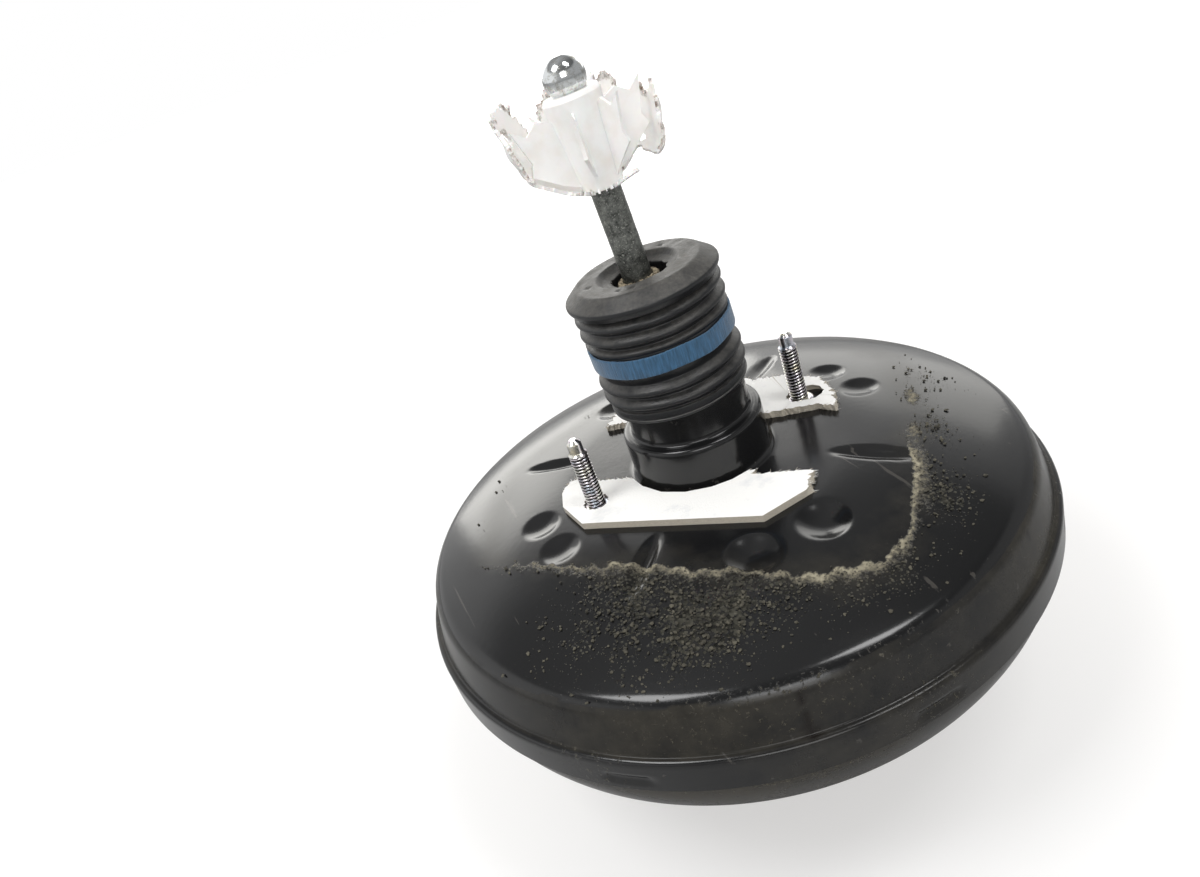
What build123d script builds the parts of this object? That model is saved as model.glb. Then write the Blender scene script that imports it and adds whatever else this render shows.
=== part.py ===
"""Single-diaphragm vacuum brake booster, as an assembly of separate pieces.

Row frame: +Z runs along the booster's axis towards the brake pedal, z = 0 is the flat of the rear
shell that faces the bulkhead, and X passes through the two bulkhead studs. Millimetres.
"""
import os
from math import asin, atan2, cos, degrees, hypot, radians, sin, tan

from build123d import *

os.makedirs("parts", exist_ok=True)

# ---- Clearances ------------------------------------------------------------------------------
seat_gap = 0.1            # curved seat between two pieces that stay together
free_gap = 0.3            # between pieces that move against each other
running_gap = 0.05        # radial, on a guided slide
sheet_t = 1.5             # both pressed shells

# ---- Rear shell ------------------------------------------------------------------------------
neck_r = 26.0             # outside of the narrow neck that carries the boot
neck_top_z = 42.0
collar_r = 30.3           # outside of the wide collar at the foot of the neck
collar_top_z = 20.5
band_r = 139.2            # outside of the rolled band that joins the shells
band_height = 13.6
band_step = 2.8           # from the band in to the foot of the side wall
band_top_drop = 31.4      # the step lies this far below the flat of the face
wall_lean = 4.9           # the side wall leans in by this much up to the shoulder
shoulder_drop = 13.1
shoulder_fillet = 9.0
face_fall_width = 37.7    # the outer part of the face, which falls to the shoulder
face_blend_r = 188.0

# Pressed marks in the rear face: round dimples in pairs, and straight flutes between them
dimple_pitch_r = 77.5
small_dimple_r = 8.6
large_dimple_r = 10.8
small_dimple_depth = 2.0
large_dimple_depth = 3.2
stud_side_angles = (-8.5, 9.5, 172.5, 189.5)
cross_side_angles = (-106.0, -84.0, 74.0, 96.0)
flute_angles = (-138.5, -51.0, 37.0, 135.5)
flute_in_r = 57.0
flute_out_r = 92.0
flute_half_width = 4.4
flute_depth = 2.4

# Lanced dents that lock the band over the front shell's rim
lance_count = 8
lance_width = 16.5
lance_height = 3.0
lance_depth = 0.9
lance_z = -40.2

# ---- Front shell -----------------------------------------------------------------------------
front_rim_z = -37.6
dome_blend_r = 43.0
cone_from_axis = 60.0
front_face_z = -105.0
front_face_r = 71.2       # where the flat face and the cone would meet
front_face_fillet = 12.0
cylinder_bore_r = 19.0    # takes the master cylinder's nose
bore_collar_height = 10.0
bore_bend_r = 2.0

# ---- Bulkhead studs --------------------------------------------------------------------------
stud_pitch = 105.0
stud_r = 4.0
stud_thread_top_z = 28.2
dog_point_r = 3.1
dog_point_height = 6.8
stud_chamfer = 1.6
stud_shoulder_r = 4.5
stud_collar_r = 6.4
stud_collar_height = 1.8
stud_head_r = 8.0
stud_head_height = 2.5

# ---- Master cylinder studs and their inner plate -----------------------------------------------
cylinder_stud_pitch = 80.0
cylinder_stud_turn = 45.0
cylinder_stud_reach = 25.0
cylinder_stud_head_r = 7.0
plate_t = 3.0
plate_length = 112.0
plate_width = 62.0

# ---- Neck seal -------------------------------------------------------------------------------
seal_height = 9.0
guide_height = 5.0
retainer_height = 1.2
retainer_bore_r = 22.0

# ---- Valve body --------------------------------------------------------------------------------
tail_r = 20.0
tail_wall = 4.4
tail_top_z = 82.0
hub_r = 22.5
flange_r = 44.0
flange_rear_z = -12.6
flange_t = 3.6
plunger_bore_r = 8.0
disc_bore_r = 13.0
disc_seat_z = -28.0
disc_t = 6.0
rod_head_t = 4.0
valve_floor_z = 0.0
valve_seat_r = 12.7
valve_seat_wall = 1.2
valve_seat_z = 4.8
port_width = 8.0
port_exit_height = 4.0

# ---- Diaphragm and its plate -------------------------------------------------------------------
diaphragm_plate_t = 1.5
diaphragm_t = 2.0
pan_step_r = 52.0         # the plate is flat out to here
pan_floor_r = 60.0        # and flat again, lower, from here
pan_drop = 4.9
pan_rim_width = 18.0      # the outermost part of the plate, which bends down
pan_edge_drop = 14.0
inner_bead_t = 4.3        # radial
inner_bead_height = 3.8
bead_groove_depth = 1.6
roll_width = 7.0          # top of the diaphragm's rolling fold
roll_wall_width = 6.0     # its outer wall, which drops to the bead
outer_bead_t = 6.7        # radial; the bead is clamped under the band
outer_bead_height = 4.3

# ---- Output rod ------------------------------------------------------------------------------
output_rod_r = 5.0
output_tip_z = -88.0
rod_retainer_t = 1.2
rod_retainer_r = 31.0
rod_retainer_lip = 4.0

# ---- Return spring ---------------------------------------------------------------------------
return_coil_r = 27.0
return_wire_r = 1.8
return_turns = 5

# ---- Control plunger, stop key and pedal rod ----------------------------------------------------
valve_travel = 2.2
key_t = 2.8
key_top_z = -1.8
key_reach = 34.0
key_heel = 6.0
key_width = 15.0
waist_r = 4.5
pivot_z = 7.5             # centre of the rod's inner ball
inner_ball_r = 5.0
socket_wall = 2.4
socket_lip = 1.5          # the socket closes this far past the ball's middle
air_seat_r = 10.4
air_seat_t = 2.2
air_seat_lead = 0.2       # the air seat stands this far behind the vacuum seat
pedal_ball_centre = (-7.0, 2.5, 164.2)
pedal_ball_r = 8.0
pedal_rod_r = 6.0
rod_neck_r = 4.0
rod_shoulder = 42.0       # from the inner ball's centre, along the rod
ball_neck_r = 4.6
ball_neck_length = 9.0
spring_washer_t = 1.5
spring_washer_r = 11.4

# ---- Poppet and the springs in the tail --------------------------------------------------------
poppet_t = 2.4
poppet_bore_r = 8.6
poppet_wall = 1.4
poppet_height = 11.7
poppet_cup_t = 3.0
poppet_retainer_t = 3.0
poppet_spring_wire_r = 0.6
rod_spring_wire_r = 0.8
rod_spring_r = 9.6

# ---- Air filter --------------------------------------------------------------------------------
filter_length = 22.0
filter_retainer_t = 2.0
filter_retainer_bore_r = 12.2
filter_plug_r = 9.0
filter_plug_rise = 4.0

# ---- Boot ------------------------------------------------------------------------------------
boot_foot_centre = (-0.9, 0.3, 35.3)
boot_top_centre = (-2.9, 1.3, 89.75)
boot_lip_r = 29.4
boot_lip_height = 4.6
boot_crest_r = 31.5
boot_crest_bend = 1.0
boot_valley_r = 28.4
boot_wall = 1.4
convolution_pitch = 6.1
band_low = 21.1           # heights in the boot are measured from its foot, along its own axis
band_width = 8.1
band_seat_r = 29.4
band_t = 0.8
boot_ridge_r = 30.6
boot_cap_r = 31.9
boot_cap_rim = 1.4
boot_cap_top_r = 26.0
boot_cap_height = 4.6
boot_recess_r = 17.2
boot_recess_depth = 2.85
boot_hole_r = 11.2

# ---- Gasket remnants and clip --------------------------------------------------------------------
gasket_t = 3.0
front_remnant = [
    (-60.6, 21.5), (-55.0, 26.4), (-49.9, 24.9), (-45.2, 15.5), (-40.9, 11.4),
    (-32.7, 4.9), (-22.0, -20.0), (5.9, -32.0), (5.9, -37.7), (22.1, -53.5),
    (14.3, -62.2), (-8.6, -63.3), (-58.5, -14.4), (-63.6, -9.7), (-65.1, 9.2),
]
rear_remnant = [
    (46.8, 36.1), (61.3, 21.1), (68.5, 5.5), (66.1, -8.3), (62.8, -14.0),
    (54.9, -20.2), (53.8, -13.1), (46.2, -8.5), (34.2, -0.9), (28.0, 18.0),
    (-6.0, 32.0), (-5.0, 40.0), (-16.0, 53.6), (-22.0, 57.6), (-12.0, 67.0),
]
clip_foot = 113.5         # from the inner ball's centre, along the rod
clip_length = 38.5
clip_wall = 1.6
clip_flare = 1.6
clip_fin_t = 1.8
clip_reach = 28.0         # of the longest fin, from the rod's axis
clip_fin_shares = (1.0, 0.72, 0.86, 0.96, 0.68, 0.82)

# ---- Vacuum check valve ----------------------------------------------------------------------
valve_pitch_r = 52.0
valve_turn = -45.0
valve_hole_r = 9.0
grommet_lip_r = 12.0
grommet_lip_t = 2.4
grommet_wall = 2.3
valve_flange_r = 9.5
valve_flange_t = 2.6
nozzle_r = 5.0
nozzle_bore_r = 3.0
nozzle_reach = 15.0
chamber_r = 5.2
check_spring_wire_r = 0.35
check_disc_r = 4.6
check_disc_t = 1.1
check_seat_t = 1.5
check_seat_bore_r = 3.2
check_seat_inset = 7.0    # inner end of the valve, from the shell's front face
chamber_depth = 8.5


# ---- Shapes shared by the pieces -------------------------------------------------------------
def section_plane(axis_plane):
    """Plane through a piece's own axis: its local X is the radius, its local Y the height."""
    return Plane(axis_plane.origin, x_dir=axis_plane.x_dir, z_dir=-axis_plane.y_dir)


def pressed(points, radii):
    """Half section of pressed sheet: its outer path of runs and bends, thickened to the inside."""
    with BuildSketch(Plane.XZ) as section:
        with BuildLine():
            FilletPolyline(*points, radius=radii)
            offset(amount=sheet_t, side=Side.RIGHT)
        make_face()
    return section.sketch


def outline(*points, plane=Plane.XZ):
    """Half section from its corners, each a radius and a height."""
    with BuildSketch(plane) as section:
        with BuildLine():
            Polyline(*points, close=True)
        make_face()
    return section.sketch


def ring(outer_r, inner_r, low_z, high_z, plane=Plane.XZ):
    """Half section of a plain ring."""
    return outline(
        (inner_r, low_z), (outer_r, low_z), (outer_r, high_z), (inner_r, high_z), plane=plane
    )


def coil(mean_r, wire_r, turns, low_z, high_z):
    """Open coil spring about Z; its wire has eight flats and rests at the two heights."""
    rise = high_z - low_z - 2 * wire_r
    path = Helix(pitch=rise / turns, height=rise, radius=mean_r, center=(0, 0, low_z + wire_r))
    with BuildPart() as spring:
        with BuildSketch(Plane(origin=path @ 0, z_dir=path % 0)):
            RegularPolygon(wire_r, 8)
        sweep(path=path, is_frenet=True)
    return spring.part


# ---- Rear shell --------------------------------------------------------------------------------
wall_foot_r = band_r - band_step
shoulder_r = wall_foot_r - wall_lean
face_turn_r = shoulder_r - face_fall_width
rear_path = [
    (neck_r, neck_top_z),
    (neck_r, collar_top_z),
    (collar_r, collar_top_z),
    (collar_r, 0),
    (face_turn_r, 0),
    (shoulder_r, -shoulder_drop),
    (wall_foot_r, -band_top_drop),
    (band_r, -band_top_drop),
    (band_r, -band_top_drop - band_height),
]
neck_bend_r = 1.2
collar_bend_r = 1.8
collar_foot_bend_r = 2.5
band_bend_r = 1.0
rear_bends = [
    neck_bend_r, collar_bend_r, collar_foot_bend_r, face_blend_r, shoulder_fillet, band_bend_r,
    collar_bend_r,
]

# The rear face is flat out to face_flat_r, then falls away on one large arc.
face_fall = atan2(shoulder_drop, shoulder_r - face_turn_r)
face_flat_r = face_turn_r - face_blend_r * tan(face_fall / 2)


def face_plane(turn, r):
    """Plane on the rear face, its X pointing away from the axis and its Z out of the metal."""
    slope = asin((r - face_flat_r) / face_blend_r) if r > face_flat_r else 0
    out = Vector(cos(radians(turn)), sin(radians(turn)), 0)
    origin = out * r - Vector(0, 0, face_blend_r * (1 - cos(slope)))
    return Plane(
        origin=origin,
        x_dir=out * cos(slope) - Vector(0, 0, sin(slope)),
        z_dir=out * sin(slope) + Vector(0, 0, cos(slope)),
    )


die_cut = 0.8 * sheet_t   # a grown die joins the sheet at this depth, inside its thickness


def dimple(r, depth, grow=0.0):
    """Ball that presses a round dimple; grown by the sheet it gives the metal behind it."""
    ball_r = (r**2 + depth**2) / (2 * depth)
    with BuildPart() as die:
        with Locations((0, 0, ball_r - depth)):
            Sphere(ball_r + grow)
        split(bisect_by=Plane.XY.offset(-die_cut if grow else depth), keep=Keep.BOTTOM)
    return die.part


def flute(grow=0.0):
    """Slim ring-shaped die, so the flute it presses runs out to a point at both ends."""
    section_r = (flute_half_width**2 + flute_depth**2) / (2 * flute_depth)
    half_length = (flute_out_r - flute_in_r) / 2
    arc_r = (half_length**2 + flute_depth**2) / (2 * flute_depth)
    with BuildPart() as die:
        with Locations((0, 0, arc_r - flute_depth)):
            Torus(arc_r - section_r, section_r + grow, rotation=(90, 0, 0))
        split(bisect_by=Plane.XY.offset(-die_cut if grow else flute_depth), keep=Keep.BOTTOM)
    return die.part


def lance_ring(outer_r, inner_r):
    """One lanced dent's share of a ring, centred on the X axis."""
    width = degrees(lance_width / band_r)
    low_z = lance_z - lance_height / 2
    with BuildPart() as dent:
        with BuildSketch(Plane.XZ.rotated((0, 0, -width / 2))):
            with Locations(((outer_r + inner_r) / 2, low_z + lance_height / 2)):
                Rectangle(outer_r - inner_r, lance_height)
        revolve(axis=Axis.Z, revolution_arc=width)
    return dent.part


dimples = [
    ([face_plane(a, dimple_pitch_r) for a in stud_side_angles], small_dimple_r, small_dimple_depth),
    ([face_plane(a, dimple_pitch_r) for a in cross_side_angles], large_dimple_r, large_dimple_depth),
]
flute_planes = [face_plane(a, (flute_in_r + flute_out_r) / 2) for a in flute_angles]
band_inner_r = band_r - sheet_t
stud_places = [(-stud_pitch / 2, 0), (stud_pitch / 2, 0)]

with BuildPart() as rear_shell:
    revolve(pressed(rear_path, rear_bends), axis=Axis.Z)
    for planes, r, depth in dimples:
        with Locations(*planes):
            add(dimple(r, depth, sheet_t))
    with Locations(*flute_planes):
        add(flute(sheet_t))
    for planes, r, depth in dimples:
        with Locations(*planes):
            add(dimple(r, depth), mode=Mode.SUBTRACT)
    with Locations(*flute_planes):
        add(flute(), mode=Mode.SUBTRACT)
    with PolarLocations(0, lance_count):
        add(lance_ring(band_inner_r + seat_gap, band_inner_r - lance_depth))
        add(lance_ring(band_r + 1, band_r - lance_depth), mode=Mode.SUBTRACT)
    with Locations(*stud_places):
        Hole(stud_shoulder_r + seat_gap)
rear_shell.part.label = "rear_shell"
export_step(rear_shell.part, "parts/rear_shell.step")

# ---- Front shell -------------------------------------------------------------------------------
front_wall_r = band_inner_r - free_gap
dome_knee_z = front_face_z + (front_wall_r - front_face_r) / tan(radians(cone_from_axis))
dome_blend_most = 0.95 * (front_rim_z - dome_knee_z) / tan(radians(cone_from_axis / 2))
front_inner_z = front_face_z + sheet_t
front_path = [
    (front_wall_r, front_rim_z),
    (front_wall_r, dome_knee_z),
    (front_face_r, front_face_z),
    (cylinder_bore_r, front_face_z),
    (cylinder_bore_r, front_face_z + bore_collar_height),
]
front_bends = [min(dome_blend_r, dome_blend_most), front_face_fillet, bore_bend_r]
groove_low_z = lance_z - lance_height / 2 - free_gap
groove_top_z = lance_z + lance_height / 2 + free_gap
groove_floor_r = front_wall_r - lance_depth
cylinder_stud_places = [
    Vector(side * cylinder_stud_pitch / 2, 0, 0).rotate(Axis.Z, cylinder_stud_turn)
    for side in (-1, 1)
]
valve_place = Vector(valve_pitch_r, 0, 0).rotate(Axis.Z, valve_turn)

with BuildPart() as front_shell:
    revolve(pressed(front_path, front_bends), axis=Axis.Z)
    revolve(
        ring(front_wall_r - seat_gap, groove_floor_r - sheet_t,
             groove_low_z - sheet_t, groove_top_z + lance_depth), axis=Axis.Z)
    revolve(
        ring(front_wall_r + 1, groove_floor_r, groove_low_z, groove_top_z),
        axis=Axis.Z, mode=Mode.SUBTRACT)
    with BuildSketch(Plane.XY.offset(front_face_z)):
        with Locations(*cylinder_stud_places):
            Circle(stud_shoulder_r + seat_gap)
        with Locations(valve_place):
            Circle(valve_hole_r)
    extrude(amount=sheet_t, mode=Mode.SUBTRACT)
front_shell.part.label = "front_shell"
export_step(front_shell.part, "parts/front_shell.step")

# ---- Bulkhead studs: head inside the shell, collar and thread outside ----------------------------
stud_tip_z = stud_thread_top_z + dog_point_height
with BuildPart() as bulkhead_stud:
    revolve(outline(
        (0, -sheet_t - stud_head_height),
        (stud_head_r, -sheet_t - stud_head_height),
        (stud_head_r, -sheet_t),
        (stud_shoulder_r, -sheet_t),
        (stud_shoulder_r, 0),
        (stud_collar_r, 0),
        (stud_collar_r, stud_collar_height),
        (stud_r, stud_collar_height),
        (stud_r, stud_thread_top_z),
        (dog_point_r, stud_thread_top_z + stud_r - dog_point_r),
        (dog_point_r, stud_tip_z - stud_chamfer),
        (dog_point_r - stud_chamfer, stud_tip_z),
        (0, stud_tip_z),
    ), axis=Axis.Z)

with BuildPart() as bulkhead_studs:
    with Locations(*stud_places):
        add(bulkhead_stud.part)
bulkhead_studs.part.label = "bulkhead_studs"
export_step(bulkhead_studs.part, "parts/bulkhead_studs.step")

# ---- Plate inside the front shell, and the studs it carries -------------------------------------
plate_top_z = front_inner_z + plate_t
with BuildPart() as front_reinforcement:
    with BuildSketch(Plane.XY.offset(front_inner_z)):
        SlotOverall(plate_length, plate_width, rotation=cylinder_stud_turn)
        Circle(cylinder_bore_r + bore_bend_r + seat_gap, mode=Mode.SUBTRACT)
        with Locations(*cylinder_stud_places):
            Circle(stud_shoulder_r + seat_gap, mode=Mode.SUBTRACT)
    extrude(amount=plate_t)
front_reinforcement.part.label = "front_reinforcement"
export_step(front_reinforcement.part, "parts/front_reinforcement.step")

stud_end_z = front_face_z - cylinder_stud_reach
with BuildPart() as master_cylinder_stud:
    revolve(outline(
        (0, plate_top_z + stud_head_height),
        (cylinder_stud_head_r, plate_top_z + stud_head_height),
        (cylinder_stud_head_r, plate_top_z),
        (stud_shoulder_r, plate_top_z),
        (stud_shoulder_r, front_face_z),
        (stud_r, front_face_z),
        (stud_r, stud_end_z + 1),
        (stud_r - 1, stud_end_z),
        (0, stud_end_z),
    ), axis=Axis.Z)

with BuildPart() as master_cylinder_studs:
    with Locations(*cylinder_stud_places):
        add(master_cylinder_stud.part)
master_cylinder_studs.part.label = "master_cylinder_studs"
export_step(master_cylinder_studs.part, "parts/master_cylinder_studs.step")

# ---- Seal and guide that the tail of the valve body slides in --------------------------------------
collar_inner_r = collar_r - sheet_t - seat_gap
seal_top_z = collar_top_z - sheet_t
guide_top_z = seal_top_z - seal_height
retainer_top_z = guide_top_z - guide_height
seal_chamfer = 0.6

with BuildPart() as neck_seal:
    revolve(outline(
        (tail_r + free_gap, guide_top_z),
        (collar_inner_r, guide_top_z),
        (collar_inner_r, seal_top_z - seal_chamfer),
        (collar_inner_r - seal_chamfer, seal_top_z),
        (neck_r + neck_bend_r, seal_top_z),
        (tail_r + 2 * boot_wall, guide_top_z + seal_height / 2),
        (tail_r + free_gap, guide_top_z + seal_height / 2),
    ), axis=Axis.Z)
neck_seal.part.label = "neck_seal"
export_step(neck_seal.part, "parts/neck_seal.step")

with BuildPart() as neck_guide:
    revolve(ring(collar_inner_r, tail_r + running_gap, retainer_top_z, guide_top_z), axis=Axis.Z)
neck_guide.part.label = "neck_guide"
export_step(neck_guide.part, "parts/neck_guide.step")

with BuildPart() as neck_retainer:
    revolve(
        ring(collar_inner_r, retainer_bore_r, retainer_top_z - retainer_height, retainer_top_z),
        axis=Axis.Z)
neck_retainer.part.label = "neck_retainer"
export_step(neck_retainer.part, "parts/neck_retainer.step")

# ---- Valve body: hub, flange and tail in one moulding ----------------------------------------------
tail_bore_r = tail_r - tail_wall
disc_front_z = disc_seat_z - disc_t
hub_front_z = disc_front_z - rod_head_t
flange_front_z = flange_rear_z - flange_t
bead_low_z = flange_rear_z + diaphragm_plate_t
bead_top_z = bead_low_z + inner_bead_height + 2 * free_gap
bead_floor_r = tail_r - bead_groove_depth
key_low_z = key_top_z - key_t

with BuildPart() as valve_body:
    revolve(outline(
        (plunger_bore_r, disc_seat_z),
        (disc_bore_r, disc_seat_z),
        (disc_bore_r, hub_front_z),
        (hub_r, hub_front_z),
        (hub_r, flange_front_z),
        (flange_r, flange_front_z),
        (flange_r, flange_rear_z),
        (tail_r, flange_rear_z),
        (tail_r, bead_low_z),
        (bead_floor_r, bead_low_z),
        (bead_floor_r, bead_top_z),
        (tail_r, bead_top_z),
        (tail_r, tail_top_z),
        (tail_bore_r, tail_top_z),
        (tail_bore_r, valve_floor_z),
        (valve_seat_r, valve_floor_z),
        (valve_seat_r, valve_seat_z),
        (valve_seat_r - valve_seat_wall, valve_seat_z),
        (valve_seat_r - valve_seat_wall, valve_floor_z),
        (plunger_bore_r, valve_floor_z),
    ), axis=Axis.Z)
    # Slot through one side of the tail for the stop key
    with BuildSketch(Plane.XY.offset(key_low_z - free_gap)):
        with Locations((0, -key_heel - 1)):
            Rectangle(key_width + 2 * free_gap, key_heel + tail_r + 2, align=(Align.CENTER, Align.MIN))
    extrude(amount=key_t + 2 * free_gap, mode=Mode.SUBTRACT)
    # Two vacuum ports, from the floor between the seats to a window below the flange
    port_in_r = valve_seat_r + seat_gap
    port_out_r = tail_bore_r - seat_gap
    port_low_z = flange_front_z - seat_gap - port_exit_height
    with BuildSketch(Plane.XY.offset(port_low_z)):
        with PolarLocations((port_in_r + port_out_r) / 2, 2):
            Rectangle(port_out_r - port_in_r, port_width)
    extrude(amount=valve_floor_z - port_low_z, mode=Mode.SUBTRACT)
    with BuildSketch(Plane.XY.offset(port_low_z)):
        with PolarLocations((port_in_r + hub_r + 1) / 2, 2):
            Rectangle(hub_r + 1 - port_in_r, port_width)
    extrude(amount=port_exit_height, mode=Mode.SUBTRACT)
valve_body.part.label = "valve_body"
export_step(valve_body.part, "parts/valve_body.step")

# ---- Diaphragm plate, and the diaphragm that lies over it --------------------------------------------
pan_floor_z = bead_low_z - pan_drop
outer_bead_out_r = band_inner_r - 2 * free_gap
outer_bead_in_r = outer_bead_out_r - outer_bead_t
roll_r = outer_bead_in_r - roll_wall_width
pan_edge_r = roll_r - roll_width
pan_rim_r = pan_edge_r - pan_rim_width
pan_path = [
    (tail_r + free_gap, bead_low_z),
    (pan_step_r, bead_low_z),
    (pan_floor_r, pan_floor_z),
    (pan_rim_r, pan_floor_z),
    (pan_edge_r, pan_floor_z - pan_edge_drop / 2),
    (pan_edge_r, pan_floor_z - pan_edge_drop),
]
pan_bends = [3.0, 4.0, 12.0, 4.0]

with BuildPart() as diaphragm_plate:
    with BuildSketch(Plane.XZ):
        with BuildLine():
            FilletPolyline(*pan_path, radius=pan_bends)
            offset(amount=diaphragm_plate_t, side=Side.RIGHT)
        make_face()
    revolve(axis=Axis.Z)
diaphragm_plate.part.label = "diaphragm_plate"
export_step(diaphragm_plate.part, "parts/diaphragm_plate.step")

outer_bead_low_z = front_rim_z + seat_gap
diaphragm_path = [
    (bead_floor_r + 2 * free_gap, bead_low_z + free_gap),
    (pan_step_r, bead_low_z + free_gap),
    (pan_floor_r, pan_floor_z + free_gap),
    (pan_rim_r, pan_floor_z + free_gap),
    (pan_edge_r, pan_floor_z - pan_edge_drop / 2 + free_gap),
    (roll_r, pan_floor_z - pan_edge_drop / 2 + free_gap),
    (outer_bead_in_r + diaphragm_t, outer_bead_low_z + diaphragm_t),
]
with BuildPart() as diaphragm:
    with BuildSketch(Plane.XZ):
        with BuildLine():
            FilletPolyline(*diaphragm_path, radius=[3.0, 4.0, 12.0, 3.0, 3.0])
            offset(amount=diaphragm_t, side=Side.LEFT)
        make_face()
    revolve(axis=Axis.Z)
    revolve(
        ring(bead_floor_r + free_gap + inner_bead_t, bead_floor_r + free_gap,
             bead_low_z + free_gap, bead_top_z - free_gap), axis=Axis.Z)
    revolve(
        ring(outer_bead_out_r, outer_bead_in_r, outer_bead_low_z,
             outer_bead_low_z + outer_bead_height), axis=Axis.Z)
diaphragm.part.label = "diaphragm"
export_step(diaphragm.part, "parts/diaphragm.step")

# ---- Reaction disc, output rod and the ring that keeps them in the hub -------------------------------
with BuildPart() as reaction_disc:
    revolve(ring(disc_bore_r - seat_gap, 0, disc_front_z, disc_seat_z), axis=Axis.Z)
reaction_disc.part.label = "reaction_disc"
export_step(reaction_disc.part, "parts/reaction_disc.step")

with BuildPart() as output_rod:
    revolve(outline(
        (0, disc_front_z),
        (disc_bore_r - seat_gap, disc_front_z),
        (disc_bore_r - seat_gap, hub_front_z),
        (output_rod_r, hub_front_z),
        (output_rod_r, output_tip_z + output_rod_r / 2),
        (output_rod_r / 2, output_tip_z),
        (0, output_tip_z),
    ), axis=Axis.Z)
output_rod.part.label = "output_rod"
export_step(output_rod.part, "parts/output_rod.step")

rod_ring_low_z = hub_front_z - rod_retainer_t
with BuildPart() as output_rod_retainer:
    revolve(outline(
        (output_rod_r + rod_retainer_t, hub_front_z),
        (rod_retainer_r, hub_front_z),
        (rod_retainer_r, rod_ring_low_z - rod_retainer_lip),
        (rod_retainer_r - rod_retainer_t, rod_ring_low_z - rod_retainer_lip),
        (rod_retainer_r - rod_retainer_t, rod_ring_low_z),
        (output_rod_r + rod_retainer_t, rod_ring_low_z),
    ), axis=Axis.Z)
output_rod_retainer.part.label = "output_rod_retainer"
export_step(output_rod_retainer.part, "parts/output_rod_retainer.step")

return_spring = coil(
    return_coil_r, return_wire_r, return_turns, plate_top_z, rod_ring_low_z - free_gap)
return_spring.label = "return_spring"
export_step(return_spring, "parts/return_spring.step")

# ---- Stop key: a fork that keeps the plunger in the valve body --------------------------------------
with BuildPart() as stop_key:
    with BuildSketch(Plane.XY.offset(key_low_z)):
        with Locations((0, -key_heel)):
            Rectangle(key_width, key_reach + key_heel, align=(Align.CENTER, Align.MIN))
        Circle(waist_r + free_gap, mode=Mode.SUBTRACT)
        with Locations((0, -key_heel)):
            Rectangle(2 * (waist_r + free_gap), key_heel, align=(Align.CENTER, Align.MIN),
                      mode=Mode.SUBTRACT)
    extrude(amount=key_t)
stop_key.part.label = "stop_key"
export_step(stop_key.part, "parts/stop_key.step")

# ---- Control plunger: land, waist for the key, air seat and the pedal rod's socket ---------------------
land_r = plunger_bore_r - running_gap
nose_z = disc_seat_z + valve_travel + free_gap
waist_top_z = key_top_z + free_gap + valve_travel
waist_low_z = key_low_z - free_gap
socket_r = inner_ball_r + running_gap
socket_tube_r = socket_r + socket_wall
air_seat_z = valve_seat_z + air_seat_lead

with BuildPart() as control_plunger:
    revolve(outline(
        (0, nose_z),
        (land_r, nose_z),
        (land_r, waist_low_z),
        (waist_r, waist_low_z),
        (waist_r, waist_top_z),
        (socket_tube_r, waist_top_z),
        (socket_tube_r, air_seat_z - air_seat_t),
        (air_seat_r, air_seat_z - air_seat_t),
        (air_seat_r, air_seat_z),
        (socket_tube_r, air_seat_z),
        (socket_tube_r, pivot_z + socket_lip),
        (0, pivot_z + socket_lip),
    ), axis=Axis.Z)
    with Locations((0, 0, pivot_z)):
        Sphere(socket_r, mode=Mode.SUBTRACT)
control_plunger.part.label = "control_plunger"
export_step(control_plunger.part, "parts/control_plunger.step")

# ---- Poppet, its spring and the ring that holds it in the tail ---------------------------------------
poppet_low_z = air_seat_z + free_gap
poppet_head_z = poppet_low_z + poppet_t
poppet_top_z = poppet_low_z + poppet_height
tail_fit_r = tail_bore_r - seat_gap
poppet_head_r = (valve_seat_r + tail_bore_r) / 2 + free_gap

with BuildPart() as poppet:
    revolve(outline(
        (poppet_bore_r, poppet_low_z),
        (poppet_head_r, poppet_low_z),
        (poppet_head_r, poppet_head_z),
        (poppet_bore_r + poppet_wall, poppet_head_z),
        (poppet_bore_r + poppet_wall, poppet_top_z - poppet_cup_t),
        (tail_fit_r, poppet_top_z - poppet_cup_t),
        (tail_fit_r, poppet_top_z),
        (poppet_bore_r, poppet_top_z),
    ), axis=Axis.Z)
poppet.part.label = "poppet"
export_step(poppet.part, "parts/poppet.step")

poppet_spring = coil(
    (poppet_bore_r + poppet_wall + tail_bore_r) / 2 - poppet_spring_wire_r,
    poppet_spring_wire_r, 3, poppet_head_z, poppet_top_z - poppet_cup_t)
poppet_spring.label = "poppet_spring"
export_step(poppet_spring, "parts/poppet_spring.step")

poppet_retainer_top_z = poppet_top_z + poppet_retainer_t
with BuildPart() as poppet_retainer:
    revolve(ring(tail_fit_r, poppet_bore_r, poppet_top_z, poppet_retainer_top_z), axis=Axis.Z)
poppet_retainer.part.label = "poppet_retainer"
export_step(poppet_retainer.part, "parts/poppet_retainer.step")

# ---- Pedal rod, on its own leaning axis ------------------------------------------------------------
rod_plane = Plane(
    origin=(0, 0, pivot_z), z_dir=Vector(*pedal_ball_centre) - Vector(0, 0, pivot_z))
rod_section = section_plane(rod_plane)
rod_axis = Axis(rod_plane.origin, rod_plane.z_dir)
rod_length = (Vector(*pedal_ball_centre) - rod_plane.origin).length
rod_lean = rod_plane.z_dir.get_angle(Vector(0, 0, 1))

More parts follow.
